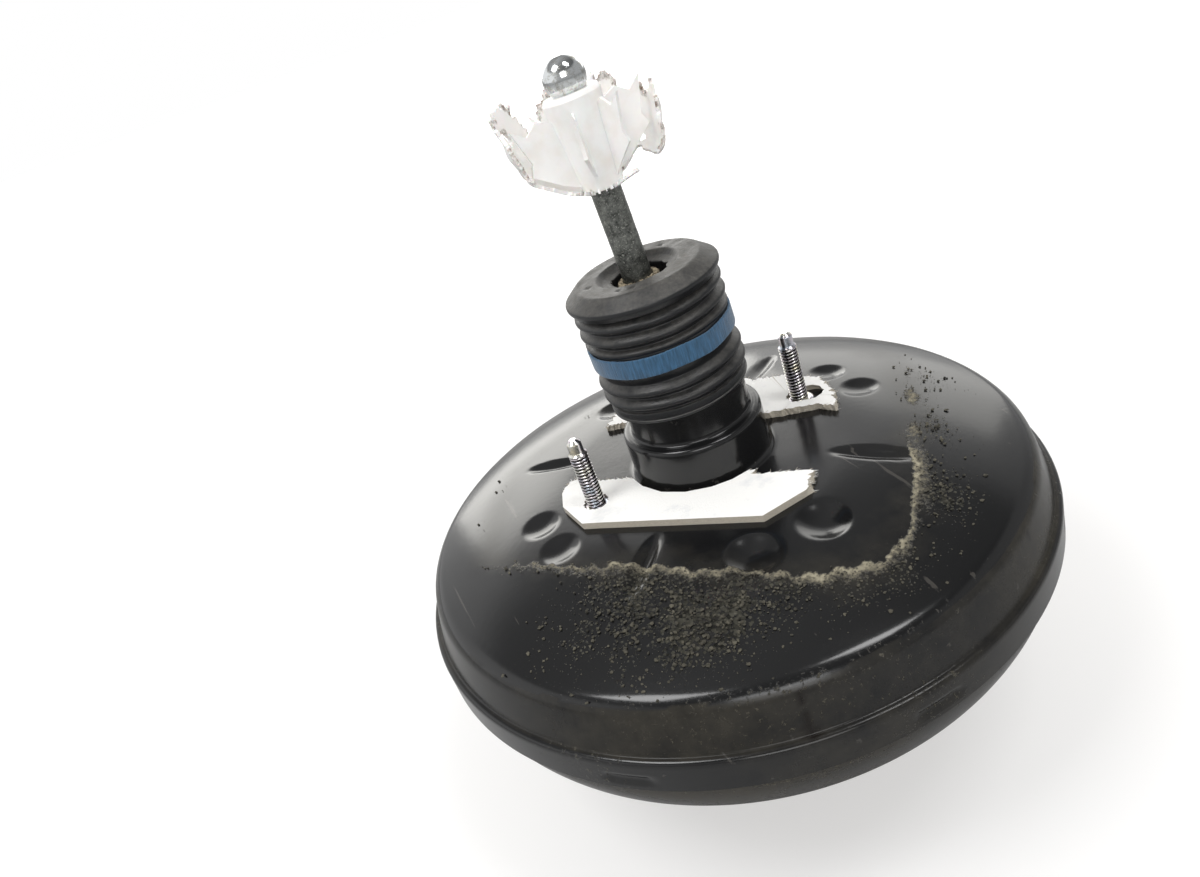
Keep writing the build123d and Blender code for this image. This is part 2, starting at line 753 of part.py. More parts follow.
with BuildPart() as input_rod:
    with BuildSketch(rod_section):
        with BuildLine():
            Polyline(
                (0, 0),
                (rod_neck_r, 0),
                (rod_neck_r, rod_shoulder),
                (pedal_rod_r, rod_shoulder),
                (pedal_rod_r, rod_length - pedal_ball_r - ball_neck_length),
                (ball_neck_r, rod_length - pedal_ball_r - ball_neck_length / 2),
                (ball_neck_r, rod_length),
                (0, rod_length),
                close=True)
        make_face()
    revolve(axis=rod_axis)
    with Locations(rod_plane):
        Sphere(inner_ball_r)
    with Locations(rod_plane.offset(rod_length)):
        Sphere(pedal_ball_r)
input_rod.part.label = "input_rod"
export_step(input_rod.part, "parts/input_rod.step")

washer_low = rod_shoulder - spring_washer_t
with BuildPart() as rod_spring_washer:
    with BuildSketch(rod_plane.offset(washer_low)):
        Circle(spring_washer_r)
        Circle(rod_neck_r + seat_gap, mode=Mode.SUBTRACT)
    extrude(amount=spring_washer_t)
rod_spring_washer.part.label = "rod_spring_washer"
export_step(rod_spring_washer.part, "parts/rod_spring_washer.step")

washer_low_z = (
    pivot_z + washer_low * cos(radians(rod_lean)) - spring_washer_r * sin(radians(rod_lean)))
rod_return_spring = coil(
    rod_spring_r, rod_spring_wire_r, 5, poppet_retainer_top_z, washer_low_z - free_gap)
rod_return_spring.label = "rod_return_spring"
export_step(rod_return_spring, "parts/rod_return_spring.step")

# ---- Air filter in the tail, and the ring over it ----------------------------------------------------
boot_plane = Plane(
    origin=boot_foot_centre, z_dir=Vector(*boot_top_centre) - Vector(*boot_foot_centre))
boot_section = section_plane(boot_plane)
boot_axis = Axis(boot_plane.origin, boot_plane.z_dir)
boot_height = (Vector(*boot_top_centre) - Vector(*boot_foot_centre)).length
filter_top_z = tail_top_z - filter_retainer_t
plug_height = filter_retainer_t + filter_plug_rise

with BuildPart() as air_filter:
    with BuildSketch(Plane.XY.offset(filter_top_z - filter_length)):
        Circle(tail_fit_r)
    extrude(amount=filter_length)
    with BuildSketch(Plane.XY.offset(filter_top_z)):
        with Locations((boot_top_centre[0], boot_top_centre[1])):
            Circle(filter_plug_r)
    extrude(amount=plug_height)
    with BuildSketch(rod_plane):
        Circle(pedal_rod_r + free_gap)
    extrude(amount=rod_length, mode=Mode.SUBTRACT)
air_filter.part.label = "air_filter"
export_step(air_filter.part, "parts/air_filter.step")

with BuildPart() as filter_retainer:
    revolve(ring(tail_fit_r, filter_retainer_bore_r, filter_top_z, tail_top_z), axis=Axis.Z)
filter_retainer.part.label = "filter_retainer"
export_step(filter_retainer.part, "parts/filter_retainer.step")

# ---- Boot: lip on the neck, two folds, seat for the band, two folds and the cap ------------------------
seat_low = band_low - 0.5
seat_top = band_low + band_width + 0.5
cap_edge_low = boot_height - boot_cap_height
cap_rim_low = cap_edge_low - boot_cap_rim


def folds(low):
    """Valley, crest, valley, crest, valley of two folds that start at a height."""
    radii = (boot_valley_r, boot_crest_r) * 2 + (boot_valley_r,)
    return [(r, low + step * convolution_pitch / 2) for step, r in enumerate(radii)]


boot_path = [
    (boot_lip_r, 0),
    (boot_lip_r, boot_lip_height),
    *folds(boot_lip_height),
    (band_seat_r, seat_low),
    (band_seat_r, seat_top),
    (boot_ridge_r, (seat_top + cap_rim_low - 5 * convolution_pitch / 2) / 2),
    *folds(cap_rim_low - 5 * convolution_pitch / 2),
    (boot_cap_r, cap_rim_low),
    (boot_cap_r, cap_edge_low),
]
with BuildPart() as boot:
    with BuildSketch(boot_section) as boot_profile:
        with BuildLine():
            Polyline(*boot_path)
            offset(amount=boot_wall, side=Side.LEFT, kind=Kind.INTERSECTION)
        make_face()
        crests = boot_profile.vertices().filter_by_position(
            Axis.X, boot_crest_r - running_gap, boot_crest_r + running_gap)
        fillet(crests, boot_crest_bend)
    revolve(axis=boot_axis)
    with BuildSketch(boot_section):
        with BuildLine():
            Polyline(
                (boot_hole_r, cap_rim_low - 2 * boot_wall),
                (boot_hole_r, boot_height - boot_recess_depth),
                ((boot_hole_r + 2 * boot_recess_r) / 3, boot_height - 2 * boot_recess_depth / 3),
                (boot_recess_r, boot_height),
                (boot_cap_top_r, boot_height),
                (boot_cap_r, cap_edge_low),
                (boot_cap_r, cap_rim_low),
                (boot_cap_r - boot_wall, cap_rim_low - 2 * boot_wall),
                close=True)
        make_face()
    revolve(axis=boot_axis)
    # Room for the neck that it sits on and for the end of the tail that its cap rests on
    with BuildSketch():
        Circle(neck_r + free_gap)
    extrude(amount=neck_top_z + free_gap, mode=Mode.SUBTRACT)
    with BuildSketch():
        Circle(tail_r + free_gap)
    extrude(amount=tail_top_z + free_gap, mode=Mode.SUBTRACT)
boot.part.label = "boot"
export_step(boot.part, "parts/boot.step")

with BuildPart() as boot_band:
    revolve(
        ring(band_seat_r + free_gap + band_t, band_seat_r + free_gap, band_low,
             band_low + band_width, plane=boot_section), axis=boot_axis)
boot_band.part.label = "boot_band"
export_step(boot_band.part, "parts/boot_band.step")

# ---- Clip under the pedal ball: a cone on the rod with torn fins ---------------------------------------
clip_bore_r = pedal_rod_r + free_gap
clip_foot_r = clip_bore_r + clip_wall
clip_top = clip_foot + clip_length
clip_top_r = clip_foot_r + clip_flare
fin_low = clip_foot + clip_length / 8
fin_high = clip_top - clip_length / 20

with BuildPart() as ball_clip:
    with BuildSketch(rod_section):
        with BuildLine():
            Polyline(
                (clip_bore_r, clip_foot),
                (clip_foot_r, clip_foot),
                (clip_top_r, clip_top - clip_wall),
                (clip_top_r - clip_wall / 2, clip_top),
                (clip_bore_r, clip_top),
                close=True)
        make_face()
    revolve(axis=rod_axis)
    for place, share in enumerate(clip_fin_shares):
        reach = clip_reach * share
        turn = 360 * place / len(clip_fin_shares)
        fin_plane = section_plane(Plane(
            rod_plane.origin, x_dir=rod_plane.x_dir.rotate(rod_axis, turn), z_dir=rod_plane.z_dir))
        with BuildSketch(fin_plane):
            with BuildLine():
                Polyline(
                    (clip_foot_r - clip_wall / 2, fin_low),
                    (reach * 0.55, fin_low + clip_length / 10),
                    (reach * 0.95, fin_low + clip_length / 3),
                    (reach * 0.88, (fin_low + fin_high) / 2),
                    (reach, fin_high),
                    (reach * 0.75, fin_high - clip_length / 9),
                    (reach * 0.6, fin_high - clip_length / 16),
                    (clip_foot_r - clip_wall / 2, fin_high - clip_length / 6),
                    close=True)
            make_face()
        extrude(amount=clip_fin_t / 2, both=True)
    with Locations(rod_plane.offset(rod_length)):
        Sphere(pedal_ball_r + free_gap, mode=Mode.SUBTRACT)
ball_clip.part.label = "ball_clip"
export_step(ball_clip.part, "parts/ball_clip.step")

# ---- What is left of the fibre gasket between the shell and the bulkhead --------------------------------
stud_hole_r = stud_collar_r + free_gap
collar_clear_r = collar_r + collar_foot_bend_r + seat_gap
left_stud, right_stud = stud_places

with BuildPart() as gasket_front:
    with BuildSketch():
        with BuildLine():
            Polyline(*front_remnant, close=True)
        make_face()
        Circle(collar_clear_r, mode=Mode.SUBTRACT)
        with Locations(left_stud):
            Circle(stud_hole_r, mode=Mode.SUBTRACT)
    extrude(amount=gasket_t)
gasket_front.part.label = "gasket_front"
export_step(gasket_front.part, "parts/gasket_front.step")

with BuildPart() as gasket_rear:
    with BuildSketch():
        with BuildLine():
            Polyline(*rear_remnant, close=True)
        make_face()
        Circle(collar_clear_r, mode=Mode.SUBTRACT)
        with Locations(right_stud):
            Circle(stud_hole_r, mode=Mode.SUBTRACT)
    extrude(amount=gasket_t)
gasket_rear.part.label = "gasket_rear"
export_step(gasket_rear.part, "parts/gasket_rear.step")

# ---- Vacuum check valve, in a grommet in the front shell ---------------------------------------------
valve_plane = Plane(valve_place)
valve_section = section_plane(valve_plane)
valve_axis = Axis(valve_place, (0, 0, 1))
grommet_neck_r = valve_hole_r - seat_gap
stem_r = grommet_neck_r - grommet_wall
outer_lip_z = front_face_z - grommet_lip_t
inner_lip_z = front_inner_z + grommet_lip_t
valve_end_z = front_face_z + check_seat_inset
valve_flange_z = outer_lip_z - valve_flange_t
nozzle_end_z = valve_flange_z - nozzle_reach
chamber_floor_z = valve_end_z - chamber_depth
check_seat_low_z = valve_end_z - check_seat_t

with BuildPart() as valve_grommet:
    revolve(outline(
        (stem_r, outer_lip_z),
        (grommet_lip_r, outer_lip_z),
        (grommet_lip_r, front_face_z),
        (grommet_neck_r, front_face_z),
        (grommet_neck_r, front_inner_z),
        (grommet_lip_r - 1, front_inner_z),
        (grommet_lip_r - 2, inner_lip_z),
        (stem_r, inner_lip_z),
        plane=valve_section,
    ), axis=valve_axis)
valve_grommet.part.label = "valve_grommet"
export_step(valve_grommet.part, "parts/valve_grommet.step")

with BuildPart() as check_valve_body:
    revolve(outline(
        (nozzle_bore_r, nozzle_end_z),
        (nozzle_r, nozzle_end_z),
        (nozzle_r, valve_flange_z),
        (valve_flange_r, valve_flange_z),
        (valve_flange_r, outer_lip_z),
        (stem_r - seat_gap, outer_lip_z),
        (stem_r - seat_gap, valve_end_z),
        (chamber_r, valve_end_z),
        (chamber_r, chamber_floor_z),
        (nozzle_bore_r, chamber_floor_z),
        plane=valve_section,
    ), axis=valve_axis)
check_valve_body.part.label = "check_valve_body"
export_step(check_valve_body.part, "parts/check_valve_body.step")

with BuildPart() as check_valve_seat:
    revolve(
        ring(chamber_r - seat_gap, check_seat_bore_r, check_seat_low_z, valve_end_z,
             plane=valve_section), axis=valve_axis)
check_valve_seat.part.label = "check_valve_seat"
export_step(check_valve_seat.part, "parts/check_valve_seat.step")

check_disc_top_z = check_seat_low_z - free_gap
with BuildPart() as check_valve_disc:
    revolve(
        ring(check_disc_r, 0, check_disc_top_z - check_disc_t, check_disc_top_z,
             plane=valve_section), axis=valve_axis)
check_valve_disc.part.label = "check_valve_disc"
export_step(check_valve_disc.part, "parts/check_valve_disc.step")

check_coil = coil(
    (nozzle_bore_r + chamber_r) / 2, check_spring_wire_r, 4, chamber_floor_z,
    check_disc_top_z - check_disc_t - free_gap)
with BuildPart() as check_valve_spring:
    with Locations(valve_plane):
        add(check_coil)
check_valve_spring.part.label = "check_valve_spring"
export_step(check_valve_spring.part, "parts/check_valve_spring.step")
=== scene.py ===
"""Vacuum brake booster: the finished look of its pieces, laid out as an add-on and run as a script.

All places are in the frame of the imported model: Z is the booster's axis towards the pedal. Sizes in
the code are in millimetres and are turned to metres as they go into a mesh.
"""

import random
from math import atan2, ceil, cos, degrees, exp, hypot, log, pi, radians, sin, tan, tau

import bmesh
import bpy
import numpy as np
from bpy.props import FloatProperty, FloatVectorProperty, IntProperty, PointerProperty
from mathutils import Matrix, Vector, noise


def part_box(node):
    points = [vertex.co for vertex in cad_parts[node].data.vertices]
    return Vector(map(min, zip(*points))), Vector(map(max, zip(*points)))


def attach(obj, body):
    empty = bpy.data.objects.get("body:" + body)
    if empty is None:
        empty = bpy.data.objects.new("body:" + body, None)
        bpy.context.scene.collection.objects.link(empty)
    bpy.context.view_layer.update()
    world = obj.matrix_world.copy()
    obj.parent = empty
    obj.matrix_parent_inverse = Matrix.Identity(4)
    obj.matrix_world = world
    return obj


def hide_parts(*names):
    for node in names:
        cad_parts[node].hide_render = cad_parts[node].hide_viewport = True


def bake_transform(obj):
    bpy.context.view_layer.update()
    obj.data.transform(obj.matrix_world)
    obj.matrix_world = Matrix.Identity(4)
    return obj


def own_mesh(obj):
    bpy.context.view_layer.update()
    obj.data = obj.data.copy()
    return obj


bl_info = {
    "name": "Vacuum brake booster",
    "version": (1, 0, 0),
    "blender": (4, 5, 0),
    "location": "3D View > Sidebar > Booster",
    "description": "Builds the pieces of a used vacuum brake booster over its packed model",
    "category": "Object",
}

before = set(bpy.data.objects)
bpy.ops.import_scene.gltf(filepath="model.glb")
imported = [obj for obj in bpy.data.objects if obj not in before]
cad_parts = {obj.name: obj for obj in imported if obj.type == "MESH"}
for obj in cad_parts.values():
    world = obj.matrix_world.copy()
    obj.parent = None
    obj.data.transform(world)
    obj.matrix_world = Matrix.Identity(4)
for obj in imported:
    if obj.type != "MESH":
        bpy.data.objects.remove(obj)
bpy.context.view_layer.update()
MM = 0.001

# ---- Places and shapes that several pieces share ------------------------------------------------
ROD_FOOT = Vector((0, 0, 7.5))
ROD_BALL = Vector((-7.0, 2.5, 164.2))
BOOT_FOOT = Vector((-0.9, 0.3, 35.3))
BOOT_TOP = Vector((-2.9, 1.3, 89.75))
ROD_LENGTH = (ROD_BALL - ROD_FOOT).length
BULKHEAD_STUD_X = 52.5
VALVE = (36.77, -36.77)   # the vacuum check valve's place on the front
SHEET = 1.5               # thickness of both pressed shells
BAND_R = 139.2
FACE_FLAT_R = 61.9        # the rear face is flat out to here, then falls on one large arc
FACE_ARC = 188.0
MARKS_FROM_R, MARKS_TO_R = 40, 112
FLOOR_Z = -130.1
WHITE = (1, 1, 1, 1)

# Outer path of each pressed shell: radius, height and the bend at that corner
REAR_PATH = [
    (26, 42), (26, 20.5, 1.2), (30.3, 20.5, 1.8), (30.3, 0, 2.5), (93.8, 0, FACE_ARC),
    (131.5, -13.1, 9), (136.4, -31.4, 1), (BAND_R, -31.4, 1.8), (BAND_R, -45),
]
FRONT_PATH = [
    (137.4, -37.6), (137.4, -38.5, 0.2), (136.6, -38.8, 0.3), (136.6, -41.9, 0.3),
    (137.4, -42.2, 0.3), (137.4, -66.8, 43), (71.2, -105, 12), (19, -105, 2), (19, -95),
]
# Round dimples as turn, pitch radius, radius and depth; flutes as turn, inner and outer radius
DIMPLES = [(turn, 77.5, 8.6, 2.0) for turn in (-8.5, 9.5, 172.5, 189.5)] + [
    (turn, 77.5, 10.8, 3.2) for turn in (-106, -84, 74, 96)]
FLUTES = [(turn, 57.0, 92.0) for turn in (-138.5, -51, 37, 135.5)]

# Inside this line the panel of the bulkhead kept the face clean; outside it road dust has caked
CLEAN_LINE = [
    (-104.5, 12.3), (-93.2, -3.5), (-81.3, -20.7), (-68.7, -35.3), (-56.8, -46.4), (-46, -57.6),
    (-36.5, -69.7), (-28.8, -75.8), (-21.2, -86.3), (-12.8, -94.5), (-3.4, -100.9), (3.6, -104.1),
    (10.7, -105.2), (18.4, -102.6), (29.2, -97.3), (42.4, -85.1), (53, -71.8), (64.9, -56.5),
    (77, -44.1), (91.2, -22), (107, 4), (105, 30), (84, 62), (52, 88), (10, 95), (-30, 80),
    (-52, 75), (-69, 70), (-82, 55), (-93, 36),
]
# Where the mud lies in heaps: share, middle, and how far it reaches along x and y
MUD_HEAPS = [
    (1, -34, -88, 38, 18), (0.8, -72, -58, 28, 20), (0.45, 12, -112, 22, 9),
    (0.6, 48, -92, 12, 14), (0.55, 74, -55, 11, 16), (0.3, 102, -18, 9, 22),
]
# Chips in the paint: middle and radius
CHIPS = [(-42.2, -129.1, 2.4), (-41, -126.5, 1.2), (-86.8, -87.2, 1.1), (62, -118, 0.9),
         (-128, -38, 1.0), (20, 128, 1.6)]

# What is left of the fibre gasket: corner, and whether the edge to the next corner is torn
FRONT_REMNANT = [
    (-60.6, 21.5, 1), (-55, 26.4, 1), (-49.9, 24.9, 1), (-45.2, 15.5, 1), (-40.9, 11.4, 1),
    (-33.0, 4.9, 0), (-32.6, -5.8, 0), (-28.8, -16.8, 0), (-21.8, -25, 0), (-12.2, -30.8, 0),
    (-3.5, -33.0, 0), (5.9, -32.6, 1), (5.9, -37.7, 1), (22.1, -53.5, 1), (14.3, -62.2, 0),
    (-8.6, -63.3, 0), (-58.5, -14.4, 0), (-63.6, -9.7, 0), (-65.1, 9.2, 0),
]
REAR_REMNANT = [
    (46.8, 36.1, 1), (61.3, 21.1, 1), (68.5, 5.5, 1), (66.1, -8.3, 1), (62.8, -14, 1),
    (57.5, -21.5, 1), (54.9, -16.5, 1), (53.8, -13.1, 1), (46.2, -8.5, 1), (34.4, -0.9, 0),
    (31.6, 9.6, 0), (28, 18, 0), (20, 26.6, 0), (10, 31.6, 0), (-6, 33, 1), (-5, 40, 1),
    (-16, 53.6, 1), (-22, 57.6, 1), (-12, 67, 1),
]


COLOUR = {"subtype": "COLOR_GAMMA", "size": 3, "min": 0, "max": 1}


class BoosterSizes(bpy.types.PropertyGroup):
    """Sizes and finishes of the booster that can be changed before its pieces are made"""

    enamel_colour: FloatVectorProperty(
        name="Enamel", description="Colour of the paint on both shells",
        default=(0.082, 0.083, 0.086), **COLOUR)
    band_colour: FloatVectorProperty(
        name="Boot band", description="Colour of the woven band round the boot",
        default=(0.235, 0.41, 0.55), **COLOUR)
    dust_colour: FloatVectorProperty(
        name="Road dust", description="Colour of the dust caked on the rear face",
        default=(0.74, 0.71, 0.62), **COLOUR)
    shell_steps: IntProperty(
        name="Shell steps", description="Steps round each pressed shell", default=360, min=90,
        max=400)
    # The real pitch is 1.25 mm; it is drawn a little coarser, so that the thread shows
    thread_pitch: FloatProperty(
        name="Thread pitch", description="Pitch of the thread on all four studs",
        default=1.5 * MM, min=0.5 * MM, max=2 * MM, precision=5, unit="LENGTH")
    gasket_thickness: FloatProperty(
        name="Gasket", description="Thickness of the fibre gasket", default=3 * MM, min=1 * MM,
        max=4 * MM, precision=4, unit="LENGTH")
    grit_count: IntProperty(
        name="Grit", description="Number of loose lumps of grit on the rear face", default=5200,
        min=0, max=8000)


# ---- Colour, nodes and materials ----------------------------------------------------------------
def linear(colour):
    """Turns an sRGB hex value, or three sRGB shares, into the linear colour that a node takes."""
    if isinstance(colour, str):
        colour = [int(colour[i:i + 2], 16) / 255 for i in (1, 3, 5)]
    return [c / 12.92 if c <= 0.04045 else ((c + 0.055) / 1.055) ** 2.4 for c in colour] + [1.0]


def add_node(tree, kind, inputs=None, **settings):
    """Adds a node with its settings; each input is a value or another node's output."""
    node = tree.nodes.new("ShaderNode" + kind)
    for name, value in settings.items():
        setattr(node, name, value)
    for name, value in (inputs or {}).items():
        if isinstance(value, bpy.types.NodeSocket):
            tree.links.new(value, node.inputs[name])
        else:
            node.inputs[name].default_value = value
    return node


class Finish:
    """A new material with its shader's own values, and short ways to the nodes that finishes are
    made of. In names of the shader's inputs an underscore stands for a space."""

    def __init__(self, name, **values):
        self.material = bpy.data.materials.new(name)
        self.material.use_nodes = True
        self.tree = self.material.node_tree
        self.shader = self.tree.nodes["Principled BSDF"]
        for key, value in values.items():
            self.shader.inputs[key.replace("_", " ")].default_value = value
        self.place = self.add("TexCoord").outputs["Object"]

    def add(self, kind, inputs=None, **settings):
        """Any node."""
        return add_node(self.tree, kind, inputs, **settings)

    def link(self, **outputs):
        """Links outputs to the shader's inputs, and gives back the finished material."""
        for key, output in outputs.items():
            self.tree.links.new(output, self.shader.inputs[key.replace("_", " ")])
        return self.material

    def mark(self, name):
        """The number that a piece keeps for each point or face under that name."""
        return self.add("Attribute", attribute_name=name).outputs["Fac"]

    def noise(self, scale, detail=2.0, roughness=0.5, at=None):
        """Noise of so many waves a metre."""
        return self.add("TexNoise", {
            "Vector": self.place if at is None else at, "Scale": float(scale),
            "Detail": float(detail), "Roughness": roughness}).outputs["Fac"]

    def stretched(self, scale, turn=(0, 0, 0)):
        """Coordinates for a pattern that is drawn out where the scale is small."""
        return self.add("Mapping", {"Vector": self.place, "Rotation": turn,
                                    "Scale": scale}).outputs[0]

    def span(self, value, low=0.0, high=1.0, to_low=0.0, to_high=1.0, kind="LINEAR"):
        """Carries one span of a value over to another, and holds it at the ends."""
        return self.add("MapRange", {
            "Value": value, "From Min": low, "From Max": high, "To Min": to_low,
            "To Max": to_high}, interpolation_type=kind).outputs[0]

    def math(self, operation, one, two):
        """Sum, product and the like of two values."""
        return self.add("Math", {0: one, 1: two}, operation=operation).outputs[0]

    def mix(self, share, one, two):
        """Mixes two colours, each an output, a hex value or sRGB shares."""
        one, two = (colour if isinstance(colour, bpy.types.NodeSocket) else linear(colour)
                    for colour in (one, two))
        return self.add("Mix", {0: share, 6: one, 7: two}, data_type="RGBA").outputs[2]

    def between(self, share, one, two):
        """Mixes two values."""
        return self.add("Mix", {0: share, 2: one, 3: two}).outputs[0]

    def bump(self, height, strength, distance, over=None):
        """Raises the surface by a height, over another bump where there is one."""
        under = {} if over is None else {"Normal": over}
        return self.add("Bump", {"Height": height, "Strength": strength, "Distance": distance,
                                 **under}).outputs[0]


def mottled_material(name, dark, light, rough, scale, detail, ragged=0.5, bump=None, **values):
    """A finish whose colour and roughness follow one noise, and its height where bump is given."""
    look = Finish(name, **values)
    cloud = look.noise(scale, detail, ragged)
    if bump:
        look.link(Normal=look.bump(cloud, *bump))
    return look.link(Base_Color=look.mix(cloud, dark, light),
                     Roughness=look.span(cloud, 0, 1, *rough))


def enamel_material():
    """Black stoving enamel on pressed steel: sprayed, so glossy with a faint orange peel. Its
    vertex marks crust, cobble, film and chip say where fine dust cakes it, where mud has dried in
    lumps, where a dull film lies on it and where it has broken off."""
    sizes = bpy.context.scene.booster
    look = Finish("stoving enamel", IOR=1.5)
    crust, cobble, film, chip = map(look.mark, ("crust", "cobble", "film", "chip"))
    # Fine dust, ragged at 2 mm
    lumps = look.noise(560, 8, 0.75)
    caked = look.span(look.math("ADD", lumps, crust), 0.84, 1.16, kind="SMOOTHSTEP")
    # Dried mud in rounded lumps 1 to 2 mm across, each of its own tone
    bent = look.add("VectorMath", {0: lumps.node.outputs["Color"], 1: (0.0012, 0.0012, 0.0012),
                                   2: look.place}, operation="MULTIPLY_ADD")
    cells = look.add("TexVoronoi", {"Vector": bent.outputs[0], "Scale": 620.0})
    spare = look.math("SUBTRACT", look.math("MULTIPLY", cobble, lumps), cells.outputs["Distance"])
    lump, dome = look.span(spare, 0, 0.09), look.span(spare, 0, 0.5)
    # The film is blotchy at 15 mm and speckled at 1 mm
    dulled = look.span(look.math("MULTIPLY", look.noise(62, 9, 0.66), film), 0.12, 0.6)
    # Handling scratches: noise drawn out along one direction, only its thin peaks kept
    drawn = look.stretched((1, 0.03, 1), turn=(0.3, 0.2, 0.7))
    scratch = look.span(look.noise(260, 3, at=drawn), 0.705, 0.74)
    paint = look.mix(dulled, sizes.enamel_colour, "#4a463d")
    scored = look.mix(scratch, paint, "#3d3b38")
    lumpy = look.mix(lump, scored, look.mix(cells.outputs["Color"], "#1d1d1b", "#5f5d54"))
    covered = look.mix(caked, lumpy, look.mix(lumps, "#7b7565", sizes.dust_colour))
    matt = look.math("MAXIMUM", caked, lump)
    # A film of dust takes the mirror off the paint as well as its colour
    shine = look.span(film, 0.2, 0.6, 0.5, 0.16)
    # Orange peel 2.5 mm across and a few microns deep, then the thickness of the crust
    peeled = look.bump(look.noise(380, 1), 0.018, 0.001)
    heap = look.math("ADD", look.math("MULTIPLY", caked, lumps), dome)
    return look.link(
        Base_Color=look.mix(chip, covered, "#15110e"),
        Roughness=look.between(matt, look.span(dulled, 0, 1, 0.17, 0.42), 0.95),
        Specular_IOR_Level=look.between(matt, shine, 0.1),
        Normal=look.bump(heap, 0.85, 0.0009, over=peeled))


def dust_material():
    """Road dust: clay and grit dried into lumps, so matt, uneven in colour and rough to 0.3 mm."""
    look = Finish("road dust", Roughness=0.95, IOR=1.4)
    spread = look.span(look.noise(240, 6, 0.7), 0.35, 0.68)
    deep = [c * 0.56 for c in bpy.context.scene.booster.dust_colour]
    return look.link(Base_Color=look.mix(spread, "#2b2a27", deep),
                     Normal=look.bump(look.noise(3300, 3), 0.8, 0.0004))


def boot_rubber_material():
    """EPDM rubber, moulded and years old: matt black, with a dusty grey bloom where it faces up;
    the vertex mark bloom says how much of it a place has."""
    look = Finish("moulded EPDM rubber", IOR=1.5)
    amount = look.math("MULTIPLY", look.noise(330, 8, 0.6), look.mark("bloom"))
    shown = look.span(amount, 0.12, 0.62)
    # The mould's own grain, 1 mm across, shows in the dust too
    grain = look.noise(900, 4)
    dust = look.mix(grain, "#3c3b39", "#6f6c66")
    return look.link(Base_Color=look.mix(shown, "#17181a", dust),
                     Roughness=look.span(shown, 0, 1, 0.34, 0.75),
                     Normal=look.bump(grain, 0.22, 0.0005))


def rubber_material():
    """Nitrile rubber, moulded: black, dull and even, as on seals, diaphragm and grommet."""
    return mottled_material("moulded nitrile rubber", "#121213", "#2b2a28", (0.4, 0.75), 200, 6,
                            bump=(0.15, 0.0005), IOR=1.5)


def band_material():
    """Woven polyester band, dyed blue: matt, with upright threads 0.5 mm apart (drawn at 0.7 mm,
    so that they show), fuzz between them and grey wear where it rubs."""
    dye = bpy.context.scene.booster.band_colour
    look = Finish("woven polyester", Roughness=0.85, IOR=1.45, Sheen_Weight=0.35,
                  Sheen_Roughness=0.5)
    threads = look.noise(1400, 3, 0.6, at=look.stretched((1, 1, 0.12)))
    dyed = look.mix(look.span(threads, 0.3, 0.7), [c * 0.7 for c in dye], dye)
    rubbed = look.span(look.noise(95, 5, 0.6), 0.52, 0.8, 0, 0.6)
    weave = look.bump(threads, 0.6, 0.0004)
    return look.link(Base_Color=look.mix(rubbed, dyed, "#3f566b"),
                     Normal=look.bump(look.noise(2600, 4), 0.35, 0.0003, over=weave))


def rod_zinc_material():
    """Zinc phosphate on forged steel: dull grey metal with pale specks 0.5 to 2 mm across, and
    rough where it was never machined."""
    look = Finish("phosphated forged steel", Metallic=0.85)
    cloud = look.noise(330, 8, 0.72)
    body = look.mix(look.span(cloud, 0.34, 0.66), "#333533", "#8a8c87")
    speck = look.span(look.noise(1500, 4, 0.7), 0.56, 0.68)
    return look.link(Base_Color=look.mix(speck, body, "#b9b9b1"),
                     Roughness=look.span(cloud, 0, 1, 0.16, 0.5),
                     Normal=look.bump(cloud, 0.16, 0.0006))


def ball_steel_material():
    """Hardened steel ball end, turned and burnished: a clear mirror, with smears of old grease
    and faint turning lines round it."""
    look = Finish("burnished steel", Metallic=1.0)
    grease = look.span(look.noise(420, 7, 0.65), 0.5, 0.72)
    lines = look.noise(3600, at=look.stretched((0.02, 0.02, 1)))
    return look.link(Base_Color=look.mix(grease, "#dcdfe0", "#8f8b7a"),
                     Roughness=look.span(grease, 0, 1, 0.12, 0.42),
                     Normal=look.bump(lines, 0.06, 0.0003))


def stud_zinc_material():
    """Zinc plate with a yellow passivate on rolled M8 threads: bright metal whose colour wanders
    from straw to pink and blue. The thread roots are painted near black as painted shade,
    by a vertex mark of how deep the thread is cut there."""
    look = Finish("passivated zinc plate", Metallic=1.0)
    rainbow = look.add("ValToRGB", {"Fac": look.noise(190, 4)})
    ramp = rainbow.color_ramp
    for at, colour in ((0.3, "#d9d0b8"), (0.45, "#e2e2dd"), (0.55, "#dcd3d8"), (0.66, "#cbd3de")):
        ramp.elements.new(at).color = linear(colour)
    ramp.elements[0].color = linear("#cdbf9c")
    ramp.elements[-1].color = linear("#dcd9cf")
    # Painted shade: near black where the thread is cut deepest
    return look.link(Base_Color=look.mix(look.mark("groove"), rainbow.outputs[0], "#2f2e2c"),
                     Roughness=look.span(look.noise(1500, 3), 0, 1, 0.16, 0.32))


def clip_material():
    """Acetal clip, moulded white and torn off its pin: slightly clear, with a satin skin, and
    patches of brown dirt in the torn edges that the vertex mark torn gives."""
    look = Finish("moulded acetal", IOR=1.48, Roughness=0.45, Subsurface_Weight=0.12,
                  Subsurface_Scale=0.002)
    dirt = look.noise(520, 7, 0.75)
    skin = look.mix(look.span(look.noise(120, 5), 0.45, 0.8, 0, 0.6), "#fbfaf8", "#e9e2d8")
    patches = look.span(look.noise(75, 2), 0.42, 0.55)
    held = look.math("MULTIPLY", look.math("MULTIPLY", dirt, look.mark("torn")), patches)
    return look.link(Base_Color=look.mix(look.span(held, 0.36, 0.6), skin, "#6b5744"),
                     Normal=look.bump(dirt, 0.25, 0.0006))


